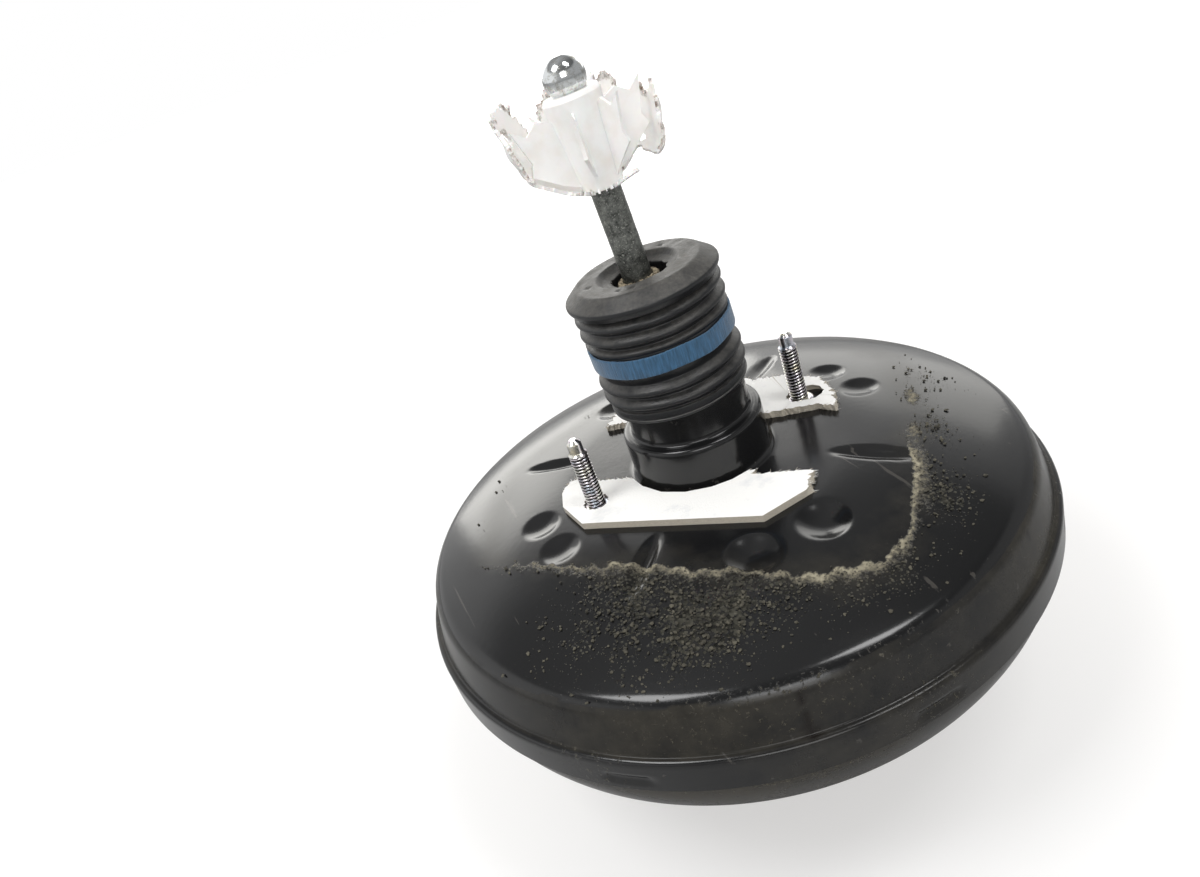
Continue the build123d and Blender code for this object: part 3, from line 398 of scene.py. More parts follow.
def gasket_material():
    """Compressed fibre gasket: paper-white matted fibres on top, beige and layered where it has
    split, with fibres up to 0.9 mm across; the face mark split gives the sides."""
    look = Finish("compressed fibre board", Roughness=0.95, IOR=1.4, Sheen_Weight=0.2)
    fibres = look.noise(1100, 6, 0.7, at=look.stretched((1, 1, 4)))
    smudge = look.span(look.noise(85, 6, 0.62), 0.55, 0.75, 0, 0.55)
    top = look.mix(smudge, "#fcfbf8", "#d3d6da")
    layers = look.mix(fibres, "#7d7465", "#ebe3d3")
    return look.link(Base_Color=look.mix(look.mark("split"), top, layers),
                     Normal=look.bump(fibres, 0.7, 0.0005))


def foam_material():
    """Reticulated polyurethane foam: open cells 0.8 mm across, grey-brown with caught dust; the
    hollow of each cell is painted near black as painted shade.
    """
    look = Finish("reticulated foam", Roughness=0.95, IOR=1.4)
    cells = look.add("TexVoronoi", {"Vector": look.place, "Scale": 1250.0})
    pore_depth_and_shade = look.span(cells.outputs["Distance"], 0.2, 0.5)
    walls = look.mix(look.noise(260, 5), "#5d5547", "#b4a68c")
    # Painted shade: the hollows of the open cells are near black
    return look.link(Base_Color=look.mix(pore_depth_and_shade, "#1f1c18", walls),
                     Normal=look.bump(pore_depth_and_shade, 0.9, 0.0006))


def phenolic_material():
    """Phenolic moulding: near black, glass fibres just showing, with a silky skin."""
    return mottled_material("moulded phenolic", "#17120f", "#3a2f27", (0.3, 0.55), 800, 5,
                            IOR=1.55)


def pressed_steel_material():
    """Cold rolled steel, oiled and unpainted: grey metal with rolling marks drawn along X."""
    look = Finish("oiled cold rolled steel", Metallic=1.0)
    marks = look.noise(900, 4, at=look.stretched((0.06, 1, 1)))
    return look.link(Base_Color=look.mix(look.noise(70, 5), "#6f6a60", "#a5a5a2"),
                     Roughness=look.span(marks, 0, 1, 0.22, 0.5))


def spring_steel_material():
    """Patented spring wire with an oil-black skin: dark, smooth metal."""
    return mottled_material("oil-black spring wire", "#3f3f41", "#787775", (0.22, 0.4), 600, 5,
                            Metallic=1.0)


def nylon_material():
    """Black glass-filled nylon, moulded: satin, with 2 mm flow mottling and a dusty bloom."""
    return mottled_material("glass-filled nylon", "#141517", "#2f2f2e", (0.35, 0.6), 500, 6,
                            ragged=0.65, bump=(0.12, 0.0004), IOR=1.53)


FINISHES = {
    "enamel": enamel_material, "dust": dust_material, "boot": boot_rubber_material,
    "rubber": rubber_material, "band": band_material, "rod": rod_zinc_material,
    "ball": ball_steel_material, "stud": stud_zinc_material, "clip": clip_material,
    "gasket": gasket_material, "foam": foam_material, "phenolic": phenolic_material,
    "sheet": pressed_steel_material, "wire": spring_steel_material, "nylon": nylon_material,
}
made_finishes = {}


def finish(name):
    """The material of that finish, made the first time that a piece asks for it."""
    if name not in made_finishes:
        made_finishes[name] = FINISHES[name]()
    return made_finishes[name]


# ---- Shaping with bmesh -------------------------------------------------------------------------
def axis_matrix(foot, top=None):
    """Places a piece made about Z so that its foot is at a point and its axis runs to another."""
    if top is None:
        return Matrix.Translation(Vector(foot) * MM)
    along = (top - foot).normalized()
    across = Vector((0, 1, 0)).cross(along).normalized()
    turn = Matrix((across, along.cross(across), along)).transposed().to_4x4()
    return Matrix.Translation(foot * MM) @ turn


def both_sides(path, wall):
    """Closes a path of sheet: its corners come back on the right of it, a wall away."""
    back = []
    for i, (r, z, *bend) in enumerate(path):
        runs = [(Vector(path[j + 1][:2]) - Vector(path[j][:2])).normalized()
                for j in (i - 1, i) if 0 <= j < len(path) - 1]
        normals = [Vector((run.y, -run.x)) for run in runs]
        if len(runs) == 1:
            back.append((r + normals[0].x * wall, z + normals[0].y * wall))
            continue
        mitre = (normals[0] + normals[1]) / (1 + normals[0].dot(normals[1])) * wall
        inside = (runs[0].x * runs[1].y - runs[0].y * runs[1].x) * wall < 0
        bend = max((bend[0] if bend else 0) + (-abs(wall) if inside else abs(wall)), 0.2)
        back.append((r + mitre.x, z + mitre.y, bend))
    return list(path) + back[::-1]


def add_path(bm, corners, step, closed=True):
    """Adds runs of edges through corners, no edge longer than step, and rounds each corner that
    has a bend."""
    verts = [bm.verts.new((r * MM, 0, z * MM)) for r, z, *_ in corners]
    pairs = list(zip(verts, verts[1:])) + ([(verts[-1], verts[0])] if closed else [])
    for pair in pairs:
        bm.edges.new(pair)
    for vert, (r, z, *bend) in zip(verts, corners):
        if bend and bend[0]:
            ways = [(e.other_vert(vert).co - vert.co).normalized() for e in vert.link_edges]
            angle = ways[0].angle(ways[1])
            arc = bend[0] * (pi - angle)
            bmesh.ops.bevel(
                bm, geom=[vert], offset=bend[0] * MM / tan(angle / 2), offset_type="OFFSET",
                affect="VERTICES", segments=max(3, min(40, ceil(arc / step))), profile=0.5,
                material=-1)
    for edge in bm.edges[:]:
        cuts = ceil(edge.calc_length() / (step * MM)) - 1
        if cuts > 0:
            bmesh.ops.subdivide_edges(bm, edges=[edge], cuts=cuts)


def join_ends(bm):
    """Joins each open end of the paths to the one nearest to it."""
    ends = [vert for vert in bm.verts if len(vert.link_edges) == 1]
    while ends:
        end = ends.pop()
        other = min(ends, key=lambda vert: (vert.co - end.co).length)
        bm.edges.new((end, other))
        ends.remove(other)


def spin_round(bm, steps):
    """Turns what is there once round Z and closes it: an eighth is spun, then doubled thrice."""
    bmesh.ops.spin(bm, geom=bm.verts[:] + bm.edges[:], axis=(0, 0, 1), cent=(0, 0, 0),
                   dvec=(0, 0, 0), angle=tau / 8, steps=ceil(steps / 8), use_merge=False,
                   use_duplicate=False)
    for turn in (tau / 8, tau / 4, tau / 2):
        copied = bmesh.ops.duplicate(bm, geom=bm.verts[:] + bm.edges[:] + bm.faces[:])["geom"]
        bmesh.ops.rotate(bm, verts=[g for g in copied if isinstance(g, bmesh.types.BMVert)],
                         cent=(0, 0, 0), matrix=Matrix.Rotation(turn, 3, "Z"))
    bmesh.ops.remove_doubles(bm, verts=bm.verts[:], dist=1e-6)
    bmesh.ops.recalc_face_normals(bm, faces=bm.faces[:])


def join(bm, part):
    """Adds a finished shape to another and lets go of it."""
    mesh = bpy.data.meshes.new("part")
    part.to_mesh(mesh)
    part.free()
    bm.from_mesh(mesh)
    bpy.data.meshes.remove(mesh)


def turned(corners, step, steps):
    """Closed turned shape from its half section."""
    bm = bmesh.new()
    add_path(bm, corners, step)
    spin_round(bm, steps)
    return bm


def coil(mean_r, wire_r, turns, low, high, per_turn):
    """Open coil of round wire between two heights, its ends closed."""
    bm = bmesh.new()
    steps = int(turns * per_turn)
    bmesh.ops.create_circle(bm, segments=12, radius=wire_r * MM)
    bmesh.ops.rotate(bm, verts=bm.verts[:], matrix=Matrix.Rotation(pi / 2, 3, "X"))
    bmesh.ops.translate(bm, verts=bm.verts[:], vec=(mean_r * MM, 0, (low + wire_r) * MM))
    climb = (high - low - 2 * wire_r) * MM
    bmesh.ops.spin(bm, geom=bm.verts[:] + bm.edges[:], axis=(0, 0, 1), cent=(0, 0, 0),
                   dvec=(0, 0, climb / steps), angle=turns * tau, steps=steps, use_merge=False,
                   use_duplicate=False)
    bmesh.ops.holes_fill(bm, edges=[e for e in bm.edges if e.is_boundary], sides=0)
    bmesh.ops.recalc_face_normals(bm, faces=bm.faces[:])
    return bm


def roughen(bm, amount, size):
    """Pushes each point a little in or out by noise of that size."""
    bm.normal_update()
    for v in bm.verts:
        v.co += v.normal * amount * MM * noise.noise(v.co / (size * MM))


def add_piece(bm, name, finish_name, crease, place=None):
    """Makes the object of a finished shape: smooth, but sharp where it turns more than crease."""
    if place is not None:
        bmesh.ops.transform(bm, matrix=place, verts=bm.verts[:])
    mesh = bpy.data.meshes.new(name)
    bm.to_mesh(mesh)
    bm.free()
    mesh.shade_smooth()
    mesh.set_sharp_from_angle(angle=radians(crease))
    mesh.materials.append(finish(finish_name))
    piece = bpy.data.objects.new(name, mesh)
    bpy.context.scene.collection.objects.link(piece)
    return piece


def points_of(piece):
    """Vertices of a piece in millimetres, and their normals, as arrays."""
    mesh = piece.data
    co = np.empty(len(mesh.vertices) * 3, np.float32)
    normal = np.empty(len(mesh.vertices) * 3, np.float32)
    mesh.vertices.foreach_get("co", co)
    mesh.vertices.foreach_get("normal", normal)
    return co.reshape(-1, 3) / MM, normal.reshape(-1, 3)


def mark(piece, **marks):
    """Keeps one number for each vertex under each name, which the materials read."""
    for name, values in marks.items():
        attribute = piece.data.attributes.new(name, "FLOAT", "POINT")
        attribute.data.foreach_set("value", np.asarray(values, np.float32))


def rise(low, high, value):
    """0 below low, 1 above high, and a smooth way between."""
    t = np.clip((value - low) / (high - low), 0, 1)
    return t * t * (3 - 2 * t)


def outside_of(line, x, y):
    """Distance in millimetres from a closed line, less than zero inside it."""
    x, y = np.asarray(x, float), np.asarray(y, float)
    nearest = np.full(x.shape, 1e9)
    inside = np.zeros(x.shape, bool)
    for (ax, ay), (bx, by) in zip(line, line[1:] + line[:1]):
        t = np.clip(((x - ax) * (bx - ax) + (y - ay) * (by - ay))
                    / ((bx - ax) ** 2 + (by - ay) ** 2), 0, 1)
        nearest = np.minimum(nearest, np.hypot(x - ax - t * (bx - ax), y - ay - t * (by - ay)))
        crosses = ((ay > y) != (by > y)) & (x < (bx - ax) * (y - ay) / (by - ay + 1e-12) + ax)
        inside ^= crosses
    return np.where(inside, -nearest, nearest)


def waver(x, y):
    """Slow wander, in millimetres, that makes a line or a patch uneven."""
    return (np.sin(x * 0.21 + 1.3) + np.sin(y * 0.17 + x * 0.08) + np.sin(x * 0.53 - y * 0.41)
            + 0.6 * np.sin(x * 1.1 + y * 0.9))


def dust_shares(x, y):
    """How thickly fine dust and lumps of mud lie at a place on the rear face, each 0 to 1."""
    away = outside_of(CLEAN_LINE, x, y) + 0.9 * waver(x, y)
    turn = np.degrees(np.arctan2(y, x))
    turn = np.where(turn > 90, turn - 360, turn)
    front = rise(-196, -160, turn) * (1 - rise(-22, 14, turn))
    # A heaped line just outside the clean part, which breaks up into patches on the right
    line = rise(-0.8, 1.4, away) * np.exp(-np.maximum(away - 1.4, 0) / 5.5) * (
        0.22 + 0.78 * front) * (0.88 + 0.06 * waver(x * 0.6, y * 0.6))
    patches = 0.72 * np.clip(0.55 + 0.3 * waver(x * 1.4, y * 1.4), 0, 1) * front * np.exp(
        -((away - 3.5) / 6.5) ** 2)
    broken = rise(-52, -36, turn)
    fine = (1 - broken) * line + broken * patches
    heaps = sum(share * np.exp(-(((x - cx) / along) ** 2 + ((y - cy) / deep) ** 2))
                for share, cx, cy, along, deep in MUD_HEAPS)
    uneven = 0.72 + 0.14 * waver(x * 0.5, y * 0.5)
    lumps = rise(-1, 4, away) * np.clip(heaps, 0, 1) * uneven
    return np.clip(fine, 0, 1), np.clip(lumps, 0, 1)


def face_z(r):
    """Height of the plain rear face at a radius, before its pressed marks."""
    out = np.maximum(np.asarray(r, float) - FACE_FLAT_R, 0)
    return -(FACE_ARC - np.sqrt(FACE_ARC ** 2 - out ** 2))


def rounded(share, soft=0.07):
    """A share of depth that comes up from 0 by a rounded rim."""
    return soft * log(1 + exp(min(share / soft, 60)))


def pressed_depth(x, y):
    """How deep the dimples and flutes are at a place; their rims are rounded."""
    flute_depth, flute_half_width = 2.4, 4.4
    depth = 0.0
    r, turn = hypot(x, y), atan2(y, x)
    for at, pitch_r, size, deep in DIMPLES:
        d = (x - pitch_r * cos(radians(at))) ** 2 + (y - pitch_r * sin(radians(at))) ** 2
        if d < (1.5 * size) ** 2:
            depth += deep * rounded(1 - d / size ** 2)
    for at, inner, outer in FLUTES:
        aside = r * sin(turn - radians(at))
        if abs(aside) < 9 and cos(turn - radians(at)) > 0 and inner - 6 < r < outer + 6:
            along = (r - (inner + outer) / 2) / ((outer - inner) / 2)
            depth += flute_depth * rounded(1 - along ** 2 - (aside / flute_half_width) ** 2)
    return depth


def draw_out(vert, share):
    """Moves a point straight away from Z by a share of its radius, or towards it."""
    vert.co.x *= share
    vert.co.y *= share


def turn_from(turn, at):
    """Degrees from one direction to another, -180 to 180."""
    return (turn - at + 180) % 360 - 180


# ---- Operators ----------------------------------------------------------------------------------
class BOOSTER_OT_rear_shell(bpy.types.Operator):
    """Pressed rear shell with its dimples, flutes, lanced band and the road dust on it"""

    bl_idname = "booster.rear_shell"
    bl_label = "Rear shell"

    def execute(self, context):
        lances, lance_z, lance_depth = 8, -40.2, 0.9
        bm = bmesh.new()
        corners = both_sides(REAR_PATH, SHEET)
        add_path(bm, corners[:len(REAR_PATH)], 1.25, closed=False)
        # The inner side, which isn't seen, has wider steps
        add_path(bm, corners[len(REAR_PATH):], 3.0, closed=False)
        join_ends(bm)
        spin_round(bm, context.scene.booster.shell_steps)
        for v in bm.verts:
            x, y, z = v.co / MM
            r = hypot(x, y)
            if MARKS_FROM_R < r < MARKS_TO_R and z > -12:
                v.co.z -= pressed_depth(x, y) * MM
            elif r > 137 and -44.5 < z < -36:
                # Short dents lanced inwards round the band, which lock the two shells
                aside = abs(((atan2(y, x) / tau * lances + 0.5) % 1) - 0.5) / lances * tau * BAND_R
                inward = lance_depth * float((1 - rise(7.4, 8.8, aside))
                                             * (1 - rise(1.1, 2.0, abs(z - lance_z))))
                draw_out(v, 1 - inward / r)
            if 30 < r < 136:
                # A pressed sheet is never quite true: slow waves a tenth of a millimetre deep
                v.co.z += 0.10 * MM * noise.noise(Vector((x, y, 0)) / 26)
        piece = add_piece(bm, "rear_shell_pressing", "enamel", 50)
        co, normal = points_of(piece)
        x, y, z = co.T
        r, turn = np.hypot(x, y), np.arctan2(y, x)
        face = (r > 34) & (z > -14)
        fine, lumps = dust_shares(x, y)
        crust = np.where(face & (normal[:, 2] > 0), 0.72 * fine + 0.07 * lumps, 0)
        cobble = np.where(face & (normal[:, 2] > 0), 1.9 * lumps, 0)
        away = outside_of(CLEAN_LINE, x, y)
        # The film is thin inside the clean line, and thicker on the rim and the band
        film = np.where(face, 0.20 + 0.16 * np.exp(-(away / 9) ** 2)
                        + 0.22 * lumps * rise(0, 4, away) - 0.05 * rise(4, 20, away), 0.16)
        film = np.where((r > 128) & (z < -14), 0.46 + 0.12 * np.sin(turn * 5), film)
        film = np.where((r > 137) & (z < -31.5), 0.28 + 0.16 * np.sin(turn * 3), film)
        film = np.where((r < 34) & (z > -1), 0.12, film)
        rim = (r > 128) & (z > -31) & (z < -10)
        crust = np.where(rim, 0.24 + 0.05 * np.sin(turn * 3 + 1), crust)
        crust = np.where((r > 136) & (z < -31), 0.18 + 0.12 * np.sin(turn * 7), crust)
        chip = np.zeros(len(x))
        for cx, cy, size in CHIPS:
            chip = np.maximum(chip, 1 - rise(size * 0.6, size, np.hypot(x - cx, y - cy)
                                             + 0.4 * waver(x * 4, y * 4)))
        mark(piece, crust=crust, cobble=cobble, film=film, chip=chip)
        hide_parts("rear_shell")
        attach(piece, "booster_shell")
        return {"FINISHED"}


class BOOSTER_OT_grit(bpy.types.Operator):
    """Loose lumps of dried grit where the rear face is caked"""

    bl_idname = "booster.grit"
    bl_label = "Grit"

    def execute(self, context):
        seed, tries, outer_r, inner_r, batch = 7, 110000, 132, 50, 700
        draw = random.Random(seed)
        bm = bmesh.new()
        # Places spread evenly over the face, kept where the crust is thick
        spread = np.random.default_rng(seed)
        r = outer_r * np.sqrt(spread.random(tries))
        turn = tau * spread.random(tries)
        x, y = r * np.cos(turn), r * np.sin(turn)
        fine, lumps = dust_shares(x, y)
        kept = np.flatnonzero((r > inner_r) & (spread.random(tries) < fine ** 2 * 0.6
                                               + lumps ** 1.5 * 0.8))
        group = bmesh.new()
        for i in kept[:context.scene.booster.grit_count]:
            if len(group.verts) > batch:
                join(bm, group)
                group = bmesh.new()
            size = (0.14 + 0.62 * draw.random() ** 3.2) * (1.05 - 0.62 * fine[i])
            z = float(face_z(r[i])) - pressed_depth(x[i], y[i])
            stretch = Matrix.Diagonal((draw.uniform(0.7, 1.5), draw.uniform(0.7, 1.4),
                                       draw.uniform(0.5, 0.9), 1))
            place = (Matrix.Translation(Vector((x[i], y[i], z + 0.2 * size)) * MM)
                     @ Matrix.Rotation(draw.uniform(0, tau), 4, "Z") @ stretch)
            lump = bmesh.ops.create_icosphere(group, subdivisions=1, radius=size * MM, matrix=place)
            for v in lump["verts"]:
                v.co += Vector([draw.uniform(-0.22, 0.22) * size * MM for _ in range(3)])
        join(bm, group)
        piece = add_piece(bm, "caked_grit", "dust", 30)
        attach(piece, "booster_shell")
        return {"FINISHED"}


class BOOSTER_OT_front_shell(bpy.types.Operator):
    """Pressed front shell under the band, with the collar of the master cylinder's bore"""

    bl_idname = "booster.front_shell"
    bl_label = "Front shell"

    def execute(self, context):
        bm = bmesh.new()
        add_path(bm, both_sides(FRONT_PATH, SHEET), 2.6)
        spin_round(bm, context.scene.booster.shell_steps)
        piece = add_piece(bm, "front_shell_pressing", "enamel", 50)
        x, y, z = points_of(piece)[0].T
        turn = np.arctan2(y, x)
        # Grimier towards the band
        mark(piece, crust=0.16 + 0.16 * rise(-62, -44, z) + 0.05 * np.sin(turn * 9),
             cobble=np.zeros(len(x)),
             film=0.5 + 0.16 * np.sin(turn * 4 + z * 0.05) + 0.16 * rise(-60, -44, z),
             chip=np.zeros(len(x)))
        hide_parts("front_shell")
        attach(piece, "booster_shell")
        return {"FINISHED"}


def threaded(section, low, high, major, pitch):
    """Turned stud whose shank is cut to a thread between two heights; a vertex mark keeps how
    deep, for the painted shade in the thread roots.
    """
    depth, groove_full = 0.75, 0.4
    bm = turned(section, step=pitch / 8, steps=40)
    groove = bm.verts.layers.float.new("groove")
    for v in bm.verts:
        x, y, z = v.co / MM
        r = hypot(x, y)
        if low < z < high and abs(r - major) < 0.05:
            phase = (z / pitch - atan2(y, x) / tau) % 1
            ridge = min(1.0, 2.6 * min(phase, 1 - phase))
            ends = min(1.0, (z - low) / pitch, (high - z) / (0.6 * pitch))
            cut = depth * (1 - ridge) * max(ends, 0)
            # How deep the cut is sets how much painted shade the root gets
            v[groove] = min(1.0, cut / groove_full)
            draw_out(v, 1 - cut / r)
    return bm


class BOOSTER_OT_studs(bpy.types.Operator):
    """Two bulkhead studs with dog points, and the two studs of the master cylinder"""

    bl_idname = "booster.studs"
    bl_label = "Studs"

    def execute(self, context):
        pitch = context.scene.booster.thread_pitch / MM
        major_r, cylinder_at = 4.0, 28.284
        rear = [(0, -4), (8, -4, 0.5), (8, -1.5, 0.4), (4.5, -1.5), (4.5, 0), (6.4, 0, 0.1),
                (6.4, 1.3, 0.5), (5.4, 1.8, 0.3), (4, 1.8), (4, 28.2), (3.1, 29.1, 0.2),
                (3.1, 33.4, 0.3), (1.5, 35, 0.3), (0, 35)]
        front = [(0, -98), (7, -98, 0.4), (7, -100.5), (4.5, -100.5), (4.5, -105), (4, -105),
                 (4, -129), (3, -130, 0.1), (0, -130)]
        for name, node, section, low, high, places in (
            ("bulkhead_stud", "bulkhead_studs", rear, 1.8, 28.2,
             ((-BULKHEAD_STUD_X, 0), (BULKHEAD_STUD_X, 0))),
            ("cylinder_stud", "master_cylinder_studs", front, -129, -105,
             ((cylinder_at, cylinder_at), (-cylinder_at, -cylinder_at))),
        ):
            for side, (x, y) in enumerate(places):
                bm = threaded(section, low, high, major_r, pitch)
                piece = add_piece(bm, f"{name}_{side + 1}", "stud", 32, axis_matrix((x, y, 0)))
                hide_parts(node)
                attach(piece, "booster_shell")
        return {"FINISHED"}


def bloom_on(piece, upward, everywhere):
    """Marks the dust bloom of a rubber piece: more where it faces up, some everywhere."""
    co, normal = points_of(piece)
    uneven = 0.05 * waver(co[:, 0] * 0.7, co[:, 1] * 0.7 + co[:, 2])
    mark(piece, bloom=np.clip(
        everywhere + upward * rise(0.1, 0.95, normal[:, 2]) + uneven, 0, 1))


def fold_path(low):
    """Two folds of the boot, from a height: tight valleys and round crests."""
    valley, crest, half_fold = (27.8, 0.4), (31.6, 1.5), 3.05
    return [(r, low + i * half_fold, bend)
            for i, (r, bend) in enumerate((valley, crest, valley, crest, valley))]


class BOOSTER_OT_boot(bpy.types.Operator):
    """Bellows boot: lip, two folds, the waist under the band, two folds and the thick cap"""

    bl_idname = "booster.boot"
    bl_label = "Boot"

    def execute(self, context):
        place = axis_matrix(BOOT_FOOT, BOOT_TOP)
        wall, hole_r = 1.2, 11.2
        lower = [(29.4, 0, 0.2), (29.7, 0.9, 0.3), (29.0, 1.3, 0.2), (29.4, 1.9, 0.3),
                 (29.4, 4.2, 0.3)] + fold_path(4.6) + [(29.3, 20.9)]
        waist = [(29.4, 20.7), (29.4, 29.9)]
        upper = [(29.3, 29.7), (30.6, 31.5, 0.9)] + fold_path(33.25) + [(28.7, 46.2)]
        # Each half gives up half of the piston's 28 mm as the booster works: the lower folds towards
        # their lip, the upper ones towards the cap. Here both are made at rest, each with a mesh of
        # its own.
        for name, path, body, fixed, keep in (
            ("boot_lower_folds", lower, "booster_shell", 0, 0.33),
            ("boot_waist", waist, "band", None, None),
            ("boot_upper_folds", upper, "valve_piston", 46.2, 0.15),
        ):
            bm = turned(both_sides(path, -wall), step=0.7, steps=160)
            for v in bm.verts:
                # The folds have taken a set: they wander a little round the boot
                x, y, z = v.co / MM
                sway = noise.noise(Vector((x, y, z * 1.6)) / 17)
                v.co.z += 0.32 * MM * sway * min(1, z / 6)
                v.co.x *= 1 + 0.006 * noise.noise(Vector((y, x, z)) / 14)
            piece = add_piece(bm, name, "boot", 60, place)
            bloom_on(piece, 0.5, 0.10)
            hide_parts("boot")
            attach(piece, body)
            if keep:
                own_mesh(piece)
        cap = [(hole_r, 45.9), (hole_r, 51.65, 0.5), (15.2, 52.6, 1.5), (17.2, 54.5, 0.9),
               (26, 54.5, 1.6), (31.9, 49.9, 1.0), (31.9, 48.5, 1.0), (30.4, 45.9, 0.6)]
        bm = turned(cap, step=0.55, steps=192)
        for v in bm.verts:
            x, y, z = v.co / MM
            r, turn = hypot(x, y), atan2(y, x)
            if r < 12.5 and z > 46:
                # Short notches where the hole's edge has torn
                notch = max(0.0, noise.noise(Vector((turn * 5, 3.1, 0)))) * 1.7
                draw_out(v, 1 + notch / r * (12.5 - r) / 1.3)
            if z > 52:
                # Waves in the top of the cap, and four small pits
                v.co.z += 0.16 * MM * noise.noise(Vector((x, y, 0)) / 7)
                for bx, by in ((17, 11.5), (-15, -14.5), (-10.5, -18.5), (-20.5, 4)):
                    v.co.z -= 0.5 * MM * exp(-((x - bx) ** 2 + (y - by) ** 2) / 1.4)
        piece = add_piece(bm, "boot_cap", "boot", 55, place)
        bloom_on(piece, 0.62, 0.14)
        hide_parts("boot")
        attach(piece, "valve_piston")
        return {"FINISHED"}


class BOOSTER_OT_band(bpy.types.Operator):
    """Woven band round the boot's waist, with a soft, slightly frayed edge"""

    bl_idname = "booster.band"
    bl_label = "Boot band"

    def execute(self, context):
        inner_r, outer_r, low, high = 29.72, 30.5, 21.1, 29.2
        bm = turned([(inner_r, low), (outer_r, low, 0.3), (outer_r, high, 0.3), (inner_r, high)],
                    step=0.7, steps=240)
        for v in bm.verts:
            x, y, z = v.co / MM
            turn = atan2(y, x)
            wander = 0.42 * noise.noise(Vector((cos(turn), sin(turn), 0)) * 2.2)
            fray = 0.16 * noise.noise(Vector((turn * 30, z, 0)))
            v.co.z += (wander + fray * (abs(z - 25.1) / 4) ** 3) * MM
        piece = add_piece(bm, "boot_band_cloth", "band", 50, axis_matrix(BOOT_FOOT, BOOT_TOP))
        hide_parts("boot_band")
        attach(piece, "band")
        return {"FINISHED"}


class BOOSTER_OT_pedal_rod(bpy.types.Operator):
    """Pedal rod with its burnished ball end, and its inner ball in the plunger"""

    bl_idname = "booster.pedal_rod"
    bl_label = "Pedal rod"

    def execute(self, context):
        place = axis_matrix(ROD_FOOT, ROD_BALL)
        shank_r, inner_ball_r, ball_r, crown = 6, 5, 8, 7.72
        bm = turned([(0, -1), (4, -1), (4, 42, 0.3), (shank_r, 42, 0.5),
                     (shank_r, ROD_LENGTH - 17.5, 3),
                     (4.6, ROD_LENGTH - 12, 3), (4.7, ROD_LENGTH - 3), (0, ROD_LENGTH - 3)],
                    step=1.2, steps=72)
        bmesh.ops.create_uvsphere(bm, u_segments=48, v_segments=32, radius=inner_ball_r * MM)
        roughen(bm, 0.09, 2.6)
        rod = add_piece(bm, "pedal_rod_shank", "rod", 45, place)
        bm = bmesh.new()
        bmesh.ops.create_uvsphere(bm, u_segments=96, v_segments=64, radius=ball_r * MM,
                                  matrix=Matrix.Translation((0, 0, ROD_LENGTH * MM)))
        # Turned flat on the crown
        top = ROD_LENGTH * MM + crown * MM
        for v in bm.verts:
            v.co.z = min(v.co.z, top)
        ball = add_piece(bm, "pedal_rod_ball", "ball", 40, place)
        for piece in (rod, ball):
            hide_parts("input_rod")
            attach(piece, "pedal_rod")
        return {"FINISHED"}


# Height to which the clip's cup still stands, by direction in degrees
CUP_HEIGHTS = [
    (0, 141), (16, 143), (24, 124), (34, 150), (52, 152), (66, 132), (84, 153), (104, 147),
    (112, 134), (124, 154), (150, 155), (168, 150), (182, 141), (192, 126), (204, 119), (236, 117),
    (262, 117), (286, 119), (298, 128), (312, 130), (322, 120), (331, 136), (346, 144), (360, 141),
]


def cup_is_gone(x, y, z):
    """Whether the clip's cup has broken away at a place."""
    turn, r = degrees(atan2(y, x)) % 360, hypot(x, y)
    # The piece on the right hangs on its rib only
    free = (turn > 318 or turn < 22) and r <= 22.5
    limit = 0 if free else np.interp(turn, *zip(*CUP_HEIGHTS))
    limit += 3.4 * noise.noise(Vector((turn * 0.16, 0, 4)))
    limit += 1.6 * noise.noise(Vector((turn * 0.9, 2, 0)))
    front_cut = 195 < turn < 325 and r > 15.5
    pierced = z > 124 and noise.noise(Vector((x, y, z)) / 6.5 + Vector((9, 0, 0))) > 0.47
    return z > limit or front_cut or pierced


def add_rib(bm, turn, reach):
    """Adds a rib between the clip's hub and its cup, snapped off at its top."""
    low, high, hub_r, thickness = 119.5, 150.0, 8, 1.5
    shape = [(hub_r, low), (reach * 0.55, low + 3.5), (reach * 0.93, low + 11),
             (reach * 0.86, (low + high) / 2), (reach, high - 2), (reach * 0.8, high - 6),
             (reach * 0.62, high - 2.5), (hub_r, high - 6)]
    rib = [bm.verts.new((r * MM, -thickness / 2 * MM, z * MM)) for r, z in shape]
    side = bmesh.ops.extrude_face_region(bm, geom=[bm.faces.new(rib)])
    moved = [g for g in side["geom"] if isinstance(g, bmesh.types.BMVert)]
    bmesh.ops.translate(bm, verts=moved, vec=(0, thickness * MM, 0))
    both = list({*rib, *moved})
    bmesh.ops.rotate(bm, verts=both, matrix=Matrix.Rotation(radians(turn), 3, "Z"))
    bmesh.ops.recalc_face_normals(bm, faces=list({f for v in both for f in v.link_faces}))


